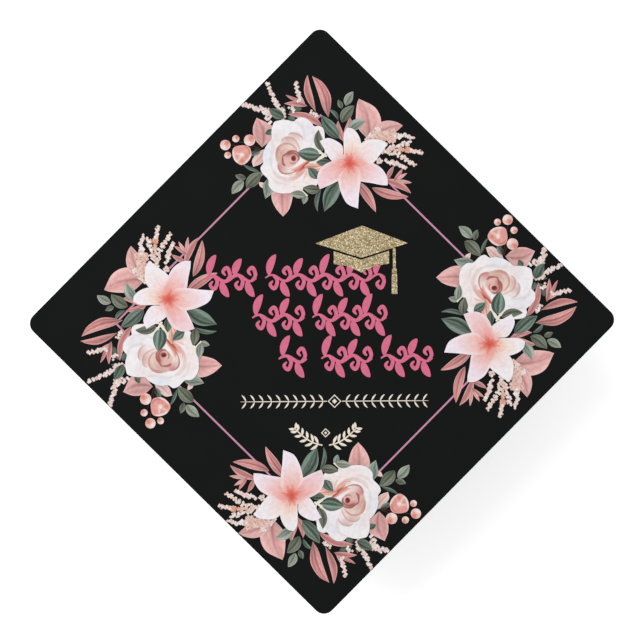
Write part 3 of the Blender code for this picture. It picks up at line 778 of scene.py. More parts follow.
berryShape = {  # a round berry of radius 1, and where each one is: middle, radius
    "places": [((-47.5, 12.7), 2.0), ((-53.4, 9.2), 2.9), ((-52.1, 3.5), 1.9), ((-39.8, 11.8), 3.2)],
    "outline": [(1, 0), (0.72, 0.7), (0, 0.98), (-0.7, 0.72), (-1, 0), (-0.74, -0.68), (0, -1),
                (0.7, -0.7)],
    "tone": (234, 188, 178),
    "marks": [  # a wash: middle, radii, tone, strength; a stroke: path, width, tone, strength
        (wash, (0.35, 0.45), (0.65, 0.55), (212, 124, 112), 0.85),
        (wash, (0.05, 0.0), (0.4, 0.4), (226, 150, 138), 0.6),
        (wash, (-0.4, -0.45), (0.7, 0.55), (245, 228, 222), 0.9),
        (wash, (-0.45, 0.3), (0.3, 0.4), (238, 204, 194), 0.7),
        (stroke, [(-0.9, 0.2), (-0.75, -0.6), (0, -0.97), (0.75, -0.6), (0.95, 0.1)], 0.2,
         (246, 232, 226), 0.8),
        (stroke, [(-0.1, 0.1), (0.3, -0.2), (0.6, -0.2)], 0.16, (214, 136, 124), 0.5),
    ],
}
budShape = {
    "middle": (-44.1, 3.7),
    "outline": [(5.3, 0.9), (4.2, 4.1), (1.5, 5.2), (-1.6, 5.1), (-4.7, 3.9), (-5.4, 0.5), (-4.3, -3.0),
                (-2.2, -5.0), (-0.3, -5.8), (1.6, -5.2), (3.7, -3.4), (5.0, -1.2)],
    "tone": (231, 172, 162),
    "marks": [
        (wash, (-0.4, 3.6), (4.6, 2.0), (224, 152, 146), 0.8),
        (wash, (2.7, -0.6), (2.2, 2.9), (224, 142, 132), 0.85),
        (wash, (0.1, -3.4), (1.7, 1.6), (214, 128, 118), 0.85),
        (wash, (-3.0, -1.4), (1.4, 1.7), (212, 150, 150), 0.75),
        (wash, (-3.0, 2.2), (1.6, 1.4), (220, 148, 146), 0.6),
        (stroke, [(1.6, 4.5), (3.3, 3.5), (4.2, 1.4), (4.2, -0.6)], 0.9, (184, 112, 96), 0.75),
        (stroke, [(-4.9, 2.6), (-5.0, 0.0), (-4.1, -2.6), (-2.3, -4.7)], 1.6, (242, 224, 219), 0.95),
        (stroke, [(5.1, 0.8), (4.5, -1.6), (3.3, -3.4), (1.2, -5.1)], 1.4, (243, 225, 221), 0.95),
        (stroke, [(-3.9, 1.0), (-2.4, 0.4), (-0.9, 0.8)], 1.0, (240, 208, 196), 0.8),
        (stroke, [(-0.4, 0.3), (-1.3, -1.9), (-2.4, -3.8)], 1.2, (236, 206, 188), 0.85),
        (stroke, [(-0.2, 1.0), (-0.1, 0.0), (-0.3, -1.0)], 2.6, (240, 230, 226), 0.95),
    ],
}


def berries(pot):
    dark = linear(66, 40, 34)
    for path in ([(-33.6, 7.0), (-37.5, 8.4), (-41.0, 10.2)], [(-33.6, 6.8), (-39.0, 8.9), (-47.0, 11.5)],
                 [(-34.2, 6.6), (-40.0, 7.6), (-51.0, 9.4)], [(-33.8, 6.4), (-38.0, 5.8), (-41.0, 5.2)]):
        ribbon(pot, path, 0.5, dark, (0.6, 0.6), 14)
    for centre, radius in berryShape["places"]:
        grid = ringsOf(berryShape["outline"], 36, 10)
        paint = painted(grid, berryShape["tone"], berryShape["marks"])
        pour(pot, grid * radius + np.array(centre), paint, ring=True)
    grid = ringsOf(budShape["outline"], 36, 14)
    paint = painted(grid, budShape["tone"], budShape["marks"])
    pour(pot, grid + np.array(budShape["middle"]), paint, ring=True)


def bouquet(name, turn, shift):
    dice = random.Random(11)
    middle = np.array([0, bouquetShape["reach"]]) @ newPot(turn=turn)["spin"] + shift
    pot = newPot(pinkLine["level"] + 2, turn, middle)
    drawn(pot, bouquetLeaves["lowest"] + bouquetLeaves["behind"])
    for row in seedSprays:
        spray(pot, *row, dice)
    berries(pot)
    rose(pot)
    drawn(pot, bouquetLeaves["front"])
    lily(pot)
    printed(pot, name, inkPrint)


for corner, (turn, shift) in bouquetShape["places"].items():
    bouquet(f"printedBouquet_{corner}", turn, shift)
print("bouquets printed")


def squareLine():
    pot = newPot(pinkLine["level"])
    inner, outer = [(pinkLine["apothem"] + f * pinkLine["width"] / 2) * math.sqrt(2) for f in (-1, 1)]
    squareFrame(pot, np.zeros(2), inner, outer, linear(*pinkLine["tone"]))
    printed(pot, "printedPinkLine", inkPrint)


squareLine()

emblem = {
    "level": 88,
    "tone": (190, 170, 120),
    "board": [(-3.4, 43.8), (22.8, 53.6), (48.4, 43.6), (22.2, 35.6)],
    "gap": 1.1,
    "crown": {"sides": (6.8, 37.8), "foot": 32.2, "bow": 1.2, "point": (22.1, 27.4)},
    "tassel": {  # each piece: top, foot, width at the top, width at the foot
        "x": 40.7,
        "pieces": [(40.8, 29.4, 1.6, 1.6), (29.4, 27.2, 2.6, 2.6), (26.8, 15.3, 2.9, 3.3)],
    },
}


def goldEmblem():
    pot = newPot(emblem["level"])
    gold = linear(*emblem["tone"])
    polygon(pot, emblem["board"], gold)
    left, right = emblem["crown"]["sides"]
    first, last = emblem["board"][0], emblem["board"][3]
    front = np.array(last) - (0, emblem["gap"])
    slope = (last[1] - first[1]) / (last[0] - first[0])
    foot, point = emblem["crown"]["foot"], emblem["crown"]["point"]
    half = (left + point[0]) / 2, (right + point[0]) / 2
    for x, far in ((left, half[0]), (right, half[1])):
        edge = front[1] + abs(x - front[0]) * abs(slope) * 0.98
        lowest = (far, foot - emblem["crown"]["bow"])
        polygon(pot, [(x, edge), (x, foot), lowest, point, tuple(front)], gold)
        pot["level"] -= 1
    x = emblem["tassel"]["x"]
    for high, low, upper, lower in emblem["tassel"]["pieces"]:
        sides = [(-lower, low), (lower, low), (upper, high), (-upper, high)]
        polygon(pot, [(x + width / 2, y) for width, y in sides], gold)
    printed(pot, "printedGoldEmblem", goldGlitter)


goldEmblem()

ornaments = {
    "vines": [  # spans of each row's sprigs, the row's middle and its height
        (((-65.0, -36.5), (-31.6, 35.6)), 26.0, 23.0),
        (((-39.0, -9.8), (-5.4, 36.2)), 3.7, 23.0),
        (((-24.4, -8.6), (-0.6, 28.0), (32.8, 61.8)), -19.4, 23.0),
    ],
    "beat": 7.4,  # from one vine leaf to the next
    "curl": ((0.8, 0), (3.0, 0.15), (1.4, 0.33), (-1.0, 0.24), (0.6, 0.14)),  # along, share of the height
    "pink": (216, 110, 140),
    "cream": (240, 228, 212),
    "garland": ((-45.9, 59.3), -44.6, 7.6, 20),
    "laurel": ((-17.0, 20.2), -63.0, 15.0),
    "diamondLine": 0.7,
    "pinkLevel": 40,
    "creamLevel": 30,
}


def vine(pot, span, middle, height, tone):
    # A brushed sprig: broad leaves above and below a waving stem, a curl opposite each leaf.
    start, end = span
    count = max(2, round((end - start) / ornaments["beat"]))
    beat = (end - start) / count

    def wave(x):
        return middle - 0.06 * height + 0.075 * height * math.sin((x - start) / beat * math.pi)

    stem = [(start + (end - start) * i / 40, wave(start + (end - start) * i / 40)) for i in range(41)]
    ribbon(pot, stem, 2.0, tone, (0.3, 0.3), 90)
    for i in range(count):
        x = start + beat * (i + 0.5)
        up = 1 if i % 2 == 0 else -1
        reach = height * (0.38 if up < 0 else (0.5 if i % 4 == 0 else 0.4))
        grid = leafGrid((x - 1.6, wave(x - 1.6)), (x + 2.4, wave(x) + up * reach), 4.3, 0.1 * up, 0.5, 0.62)
        plain(pot, grid, tone)
        curl = [(x + along, wave(x) - up * drop * height) for along, drop in ornaments["curl"]]
        ribbon(pot, curl, 2.2, tone, (0.6, 0.3), 26)


def garland(pot, span, middle, height, count, tone):
    start, end = span
    centre = (start + end) / 2
    for side in (-1, 1):
        far = start if side < 0 else end
        stem = [(centre + side * 4.2, middle), ((centre + far) / 2, middle), (far, middle)]
        ribbon(pot, stem, 0.5, tone, (0.9, 0.3), 30)
        for i in range(count // 2):
            x = centre + side * (6.4 + (abs(far - centre) - 9.5) * i / (count // 2 - 1))
            for up in (-1, 1):
                tip = (x + side * 2.6, middle + up * height / 2)
                grid = leafGrid((x, middle), tip, 0.95, 0.08 * up * side, 0.5, 0.8, 8, 3)
                plain(pot, grid, tone)
                pot["level"] -= 1
    diamond(pot, (centre, middle), height * 0.5, tone)


def diamond(pot, middle, radius, tone):
    middle, inner = np.array(middle), radius - ornaments["diamondLine"]
    squareFrame(pot, middle, inner, radius, tone)
    core = 0.45 * inner
    polygon(pot, [middle + np.array(c) * core for c in ((1, 0), (0, 1), (-1, 0), (0, -1))], tone)


def laurel(pot, span, middle, height, tone):
    start, end = span
    centre = (start + end) / 2
    for side in (-1, 1):
        reach = side * (end - start) / 2
        shares = (0.1, 0.35, 0.62, 0.85, 0.95)
        path = [(centre + reach * f, middle - height * 0.42 + height * 0.75 * f * f) for f in shares]
        ribbon(pot, path, 0.75, tone, (0.9, 0.3), 30)
        line = curveThrough(path, 40)
        for i in range(6):
            foot = line[5 + i * 6]
            ahead = line[min(39, 8 + i * 6)] - line[5 + i * 6]
            heading = math.atan2(ahead[1], ahead[0])
            for up in (-1, 1):
                angle = heading + up * 0.85
                tip = foot + (5.4 - 0.35 * i) * np.array([math.cos(angle), math.sin(angle)])
                grid = leafGrid(foot, tip, 1.5, 0.06 * up, 0.5, 0.8, 10, 3)
                plain(pot, grid, tone)
    diamond(pot, (centre, middle + height * 0.05), 2.6, tone)


def printOrnaments():
    pot = newPot()
    for spans, middle, height in ornaments["vines"]:
        for span in spans:
            pot["level"] = ornaments["pinkLevel"]
            vine(pot, span, middle, height, linear(*ornaments["pink"]))
    printed(pot, "printedVines", inkPrint)
    pot = newPot()
    for draw, values in ((garland, ornaments["garland"]), (laurel, ornaments["laurel"])):
        pot["level"] = ornaments["creamLevel"]
        draw(pot, *values, linear(*ornaments["cream"]))
    printed(pot, "printedCreamOrnaments", inkPrint)


printOrnaments()
print("artwork printed")


# The skull cap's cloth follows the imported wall: an oval that leans in, then turns over a shoulder.
wallCut = {
    "halfWidth": 0.082,
    "halfLength": -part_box("front_panel")[0].y,
    "top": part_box("front_panel")[1].z,
    "taper": 0.008,
    "shoulder": 0.004,
    "seam": 115.0,  # degrees from the forehead to a side seam
    "hemRise": 0.009,
    "hemFlat": 0.06,
    "backHem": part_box("back_panel")[0].z,
    "cloth": 0.8 * mm,
    "seamGap": 0.02,  # degrees left between the two panels
}
seamAngle = math.radians(wallCut["seam"])
wallTop = wallCut["top"] - wallCut["shoulder"]


def hemHeight(angles):
    turn = np.abs(np.where(angles > math.pi, angles - 2 * math.pi, angles))
    share = np.clip((turn / seamAngle - wallCut["hemFlat"]) / (1 - 2 * wallCut["hemFlat"]), 0, 1)
    arch = wallCut["hemRise"] * np.sin(math.pi * share) ** 2
    return np.where(turn >= seamAngle, wallCut["backHem"], arch)


def onWall(angles, inset, height):
    # Points of the oval wall: angle 0 is the forehead and pi the nape.
    x = (wallCut["halfWidth"] - inset) * np.sin(angles)
    y = -(wallCut["halfLength"] - inset) * np.cos(angles)
    return np.stack(np.broadcast_arrays(x, y, height), -1)


def wallRun(angles):
    # Distance round the wall to each angle, at half its height.
    fine = np.linspace(angles[0], angles[-1], 800)
    spots = onWall(fine, wallCut["taper"] / 2, 0.0)
    steps = np.r_[0, np.cumsum(np.linalg.norm(np.diff(spots, axis=0), axis=1))]
    return np.interp(angles, fine, steps)


def wallLayer(angles, low, high, rows, depth, out, overShoulder=False):
    # A grid of points at a depth under the wall's face, pushed out by out(run, height).
    rise = np.r_[0, 0.004, 0.014, np.linspace(0.035, 1, rows)][:, None]
    height = low + (high - low) * rise
    inset = wallCut["taper"] * height / wallTop + depth
    if overShoulder:
        turn = np.linspace(0, math.pi / 2, 7)[1:, None] * np.ones(len(angles))
        radius = wallCut["shoulder"] - depth
        height = np.vstack([height, wallTop + radius * np.sin(turn)])
        inset = np.vstack([inset, wallCut["taper"] + wallCut["shoulder"] - radius * np.cos(turn)])
    run = wallRun(angles)[None, :] * np.ones(height.shape)
    return onWall(angles[None, :], inset - out(run, height), height), run


def still(run, height):
    return 0 * run


def sewnSheet(name, outer, inner, run, material=wallTwill, closed=False):
    # Two grids of points joined along their rims into one thin piece of cloth.
    rows, columns = outer.shape[:2]
    points = np.concatenate([outer.reshape(-1, 3), inner.reshape(-1, 3)])
    spot = np.arange(2 * rows * columns).reshape(2, rows, columns)
    if closed:
        spot = np.concatenate([spot, spot[:, :, :1]], 2)
    faces = []
    for side, sheet in enumerate(spot):
        corners = [sheet[:-1, :-1], sheet[:-1, 1:], sheet[1:, 1:], sheet[1:, :-1]]
        quads = np.stack(corners, -1).reshape(-1, 4)
        faces += (quads if side == 0 else quads[:, ::-1]).tolist()
    rims = [(spot[0, 0], spot[1, 0]), (spot[1, -1], spot[0, -1])]
    if not closed:
        rims += [(spot[1, :, 0], spot[0, :, 0]), (spot[0, :, -1], spot[1, :, -1])]
    for first, second in rims:
        faces += np.stack([first[1:], first[:-1], second[:-1], second[1:]], -1).tolist()
    mesh = meshOf(name, points.tolist(), faces)
    weave = mesh.attributes.new("clothRun", "FLOAT_VECTOR", "POINT")
    flat = np.stack([run, outer[..., 2], np.zeros_like(run)], -1).reshape(-1, 3)
    weave.data.foreach_set("vector", np.concatenate([flat, flat]).astype(np.float32).ravel())
    return placed(name, mesh, material)


def ridge(value, middle, width):
    return np.exp(-(((value - middle) / width) ** 2))


def followBack(piece):
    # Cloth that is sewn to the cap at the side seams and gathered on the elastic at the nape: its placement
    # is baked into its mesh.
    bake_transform(piece)


def standsFor(piece, node, body="cap"):
    # Sewn cloth takes the imported node's place.
    if body:
        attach(piece, body)
    else:
        followBack(piece)
    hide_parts(node)


def threadRing(work, place, side, rise, radius, sides):
    turns = [2 * math.pi * k / sides for k in range(sides)]
    return [work.verts.new(place + (side * math.cos(t) + rise * math.sin(t)) * radius) for t in turns]


gauges = {
    "topStitch": {"pitch": 3.2 * mm, "length": 2.5 * mm, "thread": 0.34 * mm},
    "fineStitch": {"pitch": 2.4 * mm, "length": 1.8 * mm, "thread": 0.28 * mm},
}


def stitches(name, path, body, gauge="topStitch", lean=0.0):
    # A row of sewn stitches on a path, each a short raised thread that dips in at both ends.
    path = evenly(np.asarray(path), 2000)
    steps = np.r_[0, np.cumsum(np.linalg.norm(np.diff(path, axis=0), axis=1))]
    gauge = gauges[gauge]
    count = int(steps[-1] / gauge["pitch"])
    work = bmesh.new()
    for i in range(count):
        middle = (i + 0.5) * steps[-1] / count
        ends = [np.array([np.interp(middle + f * gauge["length"] / 2, steps, path[:, k]) for k in range(3)])
                for f in (-1, 1)]
        heading = Vector(ends[1] - ends[0]).normalized()
        side = heading.cross(Vector((0, 0, 1)))
        side = side.normalized() if side.length > 0.1 else Vector((1, 0, 0))
        rise = side.cross(heading)
        heading = (heading + lean * rise).normalized()
        centre = Vector((ends[0] + ends[1]) / 2)
        rings = []
        for f in (-1, -0.6, 0, 0.6, 1):
            radius = gauge["thread"] / 2 * (1 - f * f) ** 0.35 if abs(f) < 1 else 0
            place = centre + heading * f * gauge["length"] / 2
            if not radius:
                rings.append([work.verts.new(place)])
                continue
            rings.append(threadRing(work, place, side, rise, radius, 6))
        for low, high in zip(rings, rings[1:]):
            for k in range(6):
                j = (k + 1) % 6
                corners = (low[k % len(low)], low[j % len(low)], high[j % len(high)], high[k % len(high)])
                work.faces.new(tuple(dict.fromkeys(corners)))
    made = placed(name, meshFrom(work, name), thread)
    if body:
        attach(made, body)
    else:
        followBack(made)


frontPanel = {
    "columns": 230,
    "rows": 34,
    "ripple": 0.14 * mm,
    "pucker": 0.28 * mm,  # drag lines beside the side seams
    "hemStitch": 8.5 * mm,  # above the hem
    "flat": (0.362, 0.083),
    "held": "stretched",
    "restsOn": "front_stiffener",
}


def makeFrontPanel():
    # Stiffened front of the skull cap, with its turned-in hem and a row of top stitching.
    gap = math.radians(wallCut["seamGap"] / 2)
    angles = np.linspace(-seamAngle + gap, seamAngle - gap, frontPanel["columns"])
    low = hemHeight(angles)
    lengthRound = wallRun(angles)[-1]

    def out(run, height):
        above = height - low
        wave = np.sin(run * 61 + height * 55 + 0.5) + 0.7 * np.sin(run * 117 - height * 90 + 2)
        wave += 0.5 * np.sin(run * 260 + height * 40) * np.sin(height * 70)
        edge = np.minimum(run, lengthRound - run)
        drag = np.sin(height * 520 + 3 * np.sin(height * 90))
        drag *= frontPanel["pucker"] * ridge(edge, 0, 11 * mm)
        hem = 0.22 * mm * (1 - smoothStep(9.2 * mm, 11.5 * mm, above))
        dent = -0.2 * mm * ridge(above, frontPanel["hemStitch"], 1.0 * mm)
        roll = -0.45 * mm * (1 - smoothStep(0, 0.9 * mm, above)) ** 2
        seamRoll = -0.5 * mm * ridge(edge, 0, 0.9 * mm)
        ripple = frontPanel["ripple"] * (0.4 + 0.6 * wave / 1.6)
        return ripple + np.maximum(drag, -0.1 * mm) + hem + dent + roll + seamRoll

    rows = frontPanel["rows"]
    outer, run = wallLayer(angles, low, wallTop, rows, 0, out, True)
    inner, _ = wallLayer(angles, low, wallTop, rows, wallCut["cloth"], still, True)
    piece = sewnSheet("frontPanelCloth", outer, inner, run)
    standsFor(piece, "front_panel")
    spots = onWall(angles, wallCut["taper"] * (low + frontPanel["hemStitch"]) / wallTop - 0.14 * mm,
                   low + frontPanel["hemStitch"])
    stitches("frontHemStitches", spots, "cap")
    for side in (-1, 1):
        rise = np.linspace(4 * mm, wallTop, 40)
        beside = side * (seamAngle - math.radians(2.6))
        column = onWall(np.full(40, beside), wallCut["taper"] * rise / wallTop - 0.16 * mm, rise)
        stitches(f"sideSeamStitches_{'left' if side < 0 else 'right'}", column, "cap")


makeFrontPanel()

backPanel = {
    "columns": 420,
    "rows": 44,
    "gathers": 27,
    "depth": 2.1 * mm,
    "reach": 26 * mm,  # height over which the fine gathers fade
    "shirring": (5.5 * mm, 11.5 * mm, 17.5 * mm),
    "pinch": 1.7 * mm,
    "flat": (0.235, 0.083),
    "held": "gathered",
    "restsOn": "elastic_band",
}


def gathered(run, height, scale=1.0):
    # Folds of the gathered back: deep at the elastic, merging into wider ones further up.
    whole = run.max()
    turn = 2 * math.pi * run / whole
    count = backPanel["gathers"]
    wander = 1.1 * np.sin(5 * turn + 0.4) + 0.7 * np.sin(11 * turn + 1.3) + 5 * height * np.sin(7 * turn)
    fine = (0.5 + 0.5 * np.sin(count * turn + wander + 9 * height)) ** 1.4
    broad = (0.5 + 0.5 * np.sin(count / 2 * turn + wander / 2 + 0.8 - 6 * height)) ** 1.5
    size = 0.72 + 0.28 * np.sin(3 * turn + 1) * np.sin(8 * turn + 2)
    fade = np.exp(-((np.maximum(height - 12 * mm, 0) / backPanel["reach"]) ** 2))
    upper = smoothStep(wallCut["top"], wallTop - 16 * mm, height)
    pinches = 1 - 0.62 * sum(ridge(height, z, backPanel["pinch"]) for z in backPanel["shirring"])
    edge = smoothStep(0, 5 * mm, np.minimum(run, whole - run))
    folds = size * (fine * fade * pinches + 0.62 * broad * (1 - 0.75 * fade) * upper)
    return scale * backPanel["depth"] * edge * folds - 0.35 * mm * (1 - edge)


def makeBackPanel():
    gap = math.radians(wallCut["seamGap"] / 2)
    angles = np.linspace(seamAngle + gap, 2 * math.pi - seamAngle - gap, backPanel["columns"])
    low = hemHeight(angles)

    def out(run, height):
        roll = -0.4 * mm * (1 - smoothStep(0, 0.9 * mm, height - low)) ** 2
        return gathered(run, height) + roll

    def innerOut(run, height):
        return gathered(run, height, 0.9)

    rows = backPanel["rows"]
    outer, run = wallLayer(angles, low, wallTop, rows, 0, out, True)
    inner, _ = wallLayer(angles, low, wallTop, rows, wallCut["cloth"], innerOut, True)
    piece = sewnSheet("backPanelCloth", outer, inner, run)
    standsFor(piece, "back_panel", body=None)
    for index, height in enumerate(backPanel["shirring"]):
        run = wallRun(angles)
        push = gathered(run[None], np.full((1, len(run)), height))[0]
        inset = wallCut["taper"] * height / wallTop - push - 0.1 * mm
        stitches(f"shirringStitches_{index + 1}", onWall(angles, inset, height), None, "fineStitch")


makeBackPanel()
print("skull cap sewn")

linings = {  # bands inside the wall: depth under its face, then thickness
    "sweatband": {"depth": 2.2 * mm, "thickness": 1.0 * mm, "above": 1 * mm, "height": 30 * mm, "rows": 16,
                  "material": bandCloth, "slot": "sweatband_cloth", "flat": (0.345, 0.031),
                  "held": "stretched", "restsOn": "front_stiffener"},
    "seam_tape": {"depth": 1.1 * mm, "thickness": 0.5 * mm, "halfAngle": 3.2, "levels": (28 * mm, 54 * mm),
                  "rows": 12, "flat": (0.0102, 0.0265), "held": "stretched", "restsOn": "front_stiffener"},
    "elastic_casing": {"depth": 2.4 * mm, "thickness": 0.5 * mm, "rows": 24, "flat": (0.225, 0.0225),
                       "held": "gathered", "restsOn": "elasticWebbing"},
    "elastic_band": {"depth": 1.1 * mm, "thickness": 1.0 * mm, "rib": 1.15 * mm, "rows": 64,
                     "material": elasticRib, "slot": "black_elastic", "flat": (0.2, 0.018),
                     "held": "stretched", "restsOn": "backPanelCloth"},
    "size_label": {"depth": 1.1 * mm, "thickness": 0.4 * mm, "halfAngle": 8.0, "levels": (30 * mm, 46 * mm),
                   "rows": 20, "material": labelCloth, "slot": "white_label", "flat": (0.0275, 0.016),
                   "held": "stretched", "restsOn": "backPanelCloth"},
}


def lining(name, node, cut, angles, levels, outerPush, innerPush, body="cap"):
    # A band inside the wall: its outer face lies against the wall, its inner one faces the head.
    outer, run = wallLayer(angles, *levels, cut["rows"], cut["depth"], outerPush)
    inner, _ = wallLayer(angles, *levels, cut["rows"], cut["depth"] + cut["thickness"], innerPush)
    piece = sewnSheet(name, outer, inner, run, cut.get("material", wallTwill))
    standsFor(piece, node, body)


def makeSweatband():
    band = linings["sweatband"]
    end = seamAngle - math.radians(3)
    angles = np.linspace(-end, end, 240)
    low = hemHeight(angles) + band["above"]

    def padding(run, height):  # the inner face swells between its two rows of stitches
        share = (height - low) / band["height"]
        quilt = 0.5 + 0.5 * np.sin(run * 2 * math.pi / 0.012) ** 2
        swell = -0.7 * mm * np.clip(np.sin(math.pi * share), 0, 1) ** 0.7 * quilt
        return swell + 0.2 * mm * ridge(share, 0.5, 0.06)

    lining("sweatbandCloth", "sweatband", band, angles, (low, low + band["height"]), still, padding)
    for index, share in enumerate((0.09, 0.91)):
        height = low + band["height"] * share
        inset = wallCut["taper"] * height / wallTop + band["depth"] + band["thickness"] + 0.1 * mm
        path = onWall(angles, inset, height)
        stitches(f"sweatbandStitches_{index + 1}", path, "cap")


def makeSeamTapes():
    tape = linings["seam_tape"]
    half = math.radians(tape["halfAngle"])

    def bulge(run, height):
        return -0.12 * mm * np.sin(run / run.max() * math.pi)

    for name, middle in (("right", seamAngle), ("left", -seamAngle)):
        angles = np.linspace(middle - half, middle + half, 12)
        lining(f"seamTapeCloth_{name}", f"seam_tape_{name}", tape, angles, tape["levels"], still, bulge)


def makeElastic():
    gap = math.radians(wallCut["seamGap"] / 2)
    angles = np.linspace(seamAngle + gap, 2 * math.pi - seamAngle - gap, 300)
    elastic = linings["elastic_band"]

    def ribs(run, height):
        return 0.13 * mm * np.sin(height * 2 * math.pi / elastic["rib"]) - 0.13 * mm

    def folds(run, height):
        return -0.55 * gathered(run, height) - 0.1 * mm

    for name, node, pushes in (("elasticWebbing", "elastic_band", (ribs, still)),
                               ("elasticCasingCloth", "elastic_casing", (folds, folds))):
        low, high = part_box(node)
        lining(name, node, linings[node], angles, (low.z, high.z), *pushes, body=None)


def makeSizeLabel():
    label = linings["size_label"]
    half = math.radians(label["halfAngle"])
    angles = np.linspace(math.pi - half, math.pi + half, 24)
    middle = sum(label["levels"]) / 2

    def border(run, height):
        rim = np.minimum(np.minimum(run, run.max() - run), 8 * mm - np.abs(height - middle))
        return -0.15 * mm * (1 - smoothStep(1.2 * mm, 1.8 * mm, rim))

    lining("sizeLabelSatin", "size_label", label, angles, label["levels"], still, border, "back")


makeSweatband()
makeSeamTapes()
makeElastic()
makeSizeLabel()
print("linings sewn")

boardCloth = {
    "corner": 5.0 * mm,
    "hole": 2.25 * mm,
    "thickness": 0.6 * mm,
    "ripple": 0.1 * mm,
    "edge": [  # the rim's section: drawn in by, then up from the foot or down from the top, in mm
        (0.25, 0), (0.06, 0.35), (0.1, 1.0), (0.0, 1.35), (0.0, -1.5), (0.1, -0.9), (0.42, -0.35),
        (0.9, -0.08), (1.6, -0.02), (4.0, None), (9.0, None),
    ],
    "cover": {"flat": (0.243, 0.243), "held": "stretched", "restsOn": "board_core"},
    "under": {"flat": (0.231, 0.231), "held": "stretched", "restsOn": "board_core"},
}
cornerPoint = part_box("board_cover_top")[1].x + boardCloth["corner"] * (math.sqrt(2) - 1)


def diamondRing(inset, perSide=46, perCorner=10):
    # Outline of the round-cornered board, drawn in by an inset. Its corners point along X and Y.
    corner = max(boardCloth["corner"] - inset, 0.4 * mm)
    centre = cornerPoint - inset * math.sqrt(2) - corner * math.sqrt(2)
    spots = []
    for quarter in range(4):
        middle = quarter * math.pi / 2
        here = centre * np.array([math.cos(middle), math.sin(middle)])
        there = centre * np.array([-math.sin(middle), math.cos(middle)])
        for step in range(perCorner):
            turn = middle - math.pi / 4 + math.pi / 2 * step / perCorner
            spots.append(here + corner * np.array([math.cos(turn), math.sin(turn)]))
        away = corner * np.array([math.cos(middle + math.pi / 4), math.sin(middle + math.pi / 4)])
        for step in range(perSide):
            spots.append(here + away + (there - here) * step / perSide)
    return np.array(spots)


def boardRings(insets, hole):
    # Rings from the board's rim to the round hole in its middle.
    rim = [diamondRing(inset) for inset in insets]
    last = rim[-1]
    middle = hole * last / np.linalg.norm(last, axis=1)[:, None]
    return rim + [last + (middle - last) * share for share in np.linspace(0, 1, 15)[1:]]


def raisedRings(rings, heights):
    return np.stack([np.column_stack([ring, np.full(len(ring), z)]) for ring, z in zip(rings, heights)])


def makeBoardCover():
    # Cloth drawn over the card board and down its edges.
    foot, top = [corner.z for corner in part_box("board_cover_top")]
    hole, thickness = boardCloth["hole"], boardCloth["thickness"]
    insets = [inset * mm for inset, _ in boardCloth["edge"]]
    heights = [top if z is None else (foot if z >= 0 else top) + z * mm for _, z in boardCloth["edge"]]
    rings = boardRings(insets, hole)
    heights += [top] * (len(rings) - len(heights))
    outer = raisedRings(rings, heights)
    x, y = outer[..., 0], outer[..., 1]
    dips = 0.5 + 0.5 * np.sin(x * 150 + 2 * np.sin(y * 60)) * np.sin(y * 130 + 1.5 * np.sin(x * 70))
    outer[8:, :, 2] -= boardCloth["ripple"] * dips[8:]
    rings = boardRings([i + thickness for i in insets], hole)
    inner = raisedRings(rings, [min(z, top - thickness) for z in heights])
    piece = sewnSheet("boardCoverCloth", outer, inner, x * 0, blackTwill, closed=True)
    standsFor(piece, "board_cover_top")
    rim = diamondRing(-0.12 * mm)
    seam = np.column_stack([rim, np.full(len(rim), foot + 0.95 * mm)])
    stitches("boardEdgeStitches", np.vstack([seam, seam[:1]]), "cap", lean=0.35)


def makeUnderCover():
    # Cloth that closes the board underneath, sewn to the skull cap round its crown.
    low, high = [corner.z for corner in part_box("board_cover_under")]
    inset = boardCloth["thickness"] + 0.3 * mm
    rings = boardRings([inset, inset + 2 * mm, inset + 9 * mm], boardCloth["hole"])
    upper, lower = [raisedRings(rings, [z] * len(rings)) for z in (high, low)]
    x, y = lower[..., 0], lower[..., 1]
    lower[..., 2] += 0.12 * mm * (0.5 + 0.5 * np.sin(x * 120 + np.sin(y * 90)) * np.sin(y * 140))
    piece = sewnSheet("underCoverCloth", upper, lower, x * 0, blackTwill, closed=True)
    standsFor(piece, "board_cover_under")
    angles = np.linspace(0, 2 * math.pi, 300)
    ring = onWall(angles, wallCut["taper"] + wallCut["shoulder"] - 2.6 * mm, low - 0.05 * mm)
    stitches("crownSeamStitches", ring, "cap")


makeBoardCover()
makeUnderCover()


def makeCrown():
    # Two flat half ovals that close the cap's top, sewn together from front to back.
    low, high = [corner.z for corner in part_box("crown_right")]
    halfWidth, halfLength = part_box("crown_right")[1].xy
    turn = np.linspace(0.02, math.pi - 0.02, 90)
    y = -halfLength * np.cos(turn)
    seam = np.maximum(0.15 * mm, np.sqrt(np.maximum(boardCloth["hole"] ** 2 - y**2, 0)))
    rim = np.maximum(halfWidth * np.sin(turn), seam + 0.2 * mm)
    share = np.r_[0, 0.02, 0.05, np.linspace(0.1, 1, 16)][:, None]
    for name, side in (("right", 1), ("left", -1)):
        x = side * (seam + (rim - seam) * share)
        spots = np.stack(np.broadcast_arrays(x, y[None], high), -1)
        under = spots.copy()
        fall = 0.25 * mm * ridge(np.abs(x), 0, 2.2 * mm)
        fall += 0.1 * mm * np.sin(x * 170 + y * 40) * np.sin(y * 150)
        under[..., 2] = low - np.maximum(fall, 0)
        piece = sewnSheet(f"crownCloth_{name}", spots, under, x * 0, blackTwill)
        standsFor(piece, f"crown_{name}")
        for place, end in (("front", -1), ("back", 1)):
            reach = [end * (9.5 * mm + (halfLength - 14 * mm) * f) for f in (0, 0.5, 1)]
            line = [(side * 3 * mm, along, low - 0.2 * mm) for along in reach]
            stitches(f"crownStitches_{name}_{place}", line, "cap")


makeCrown()
print("board covered")

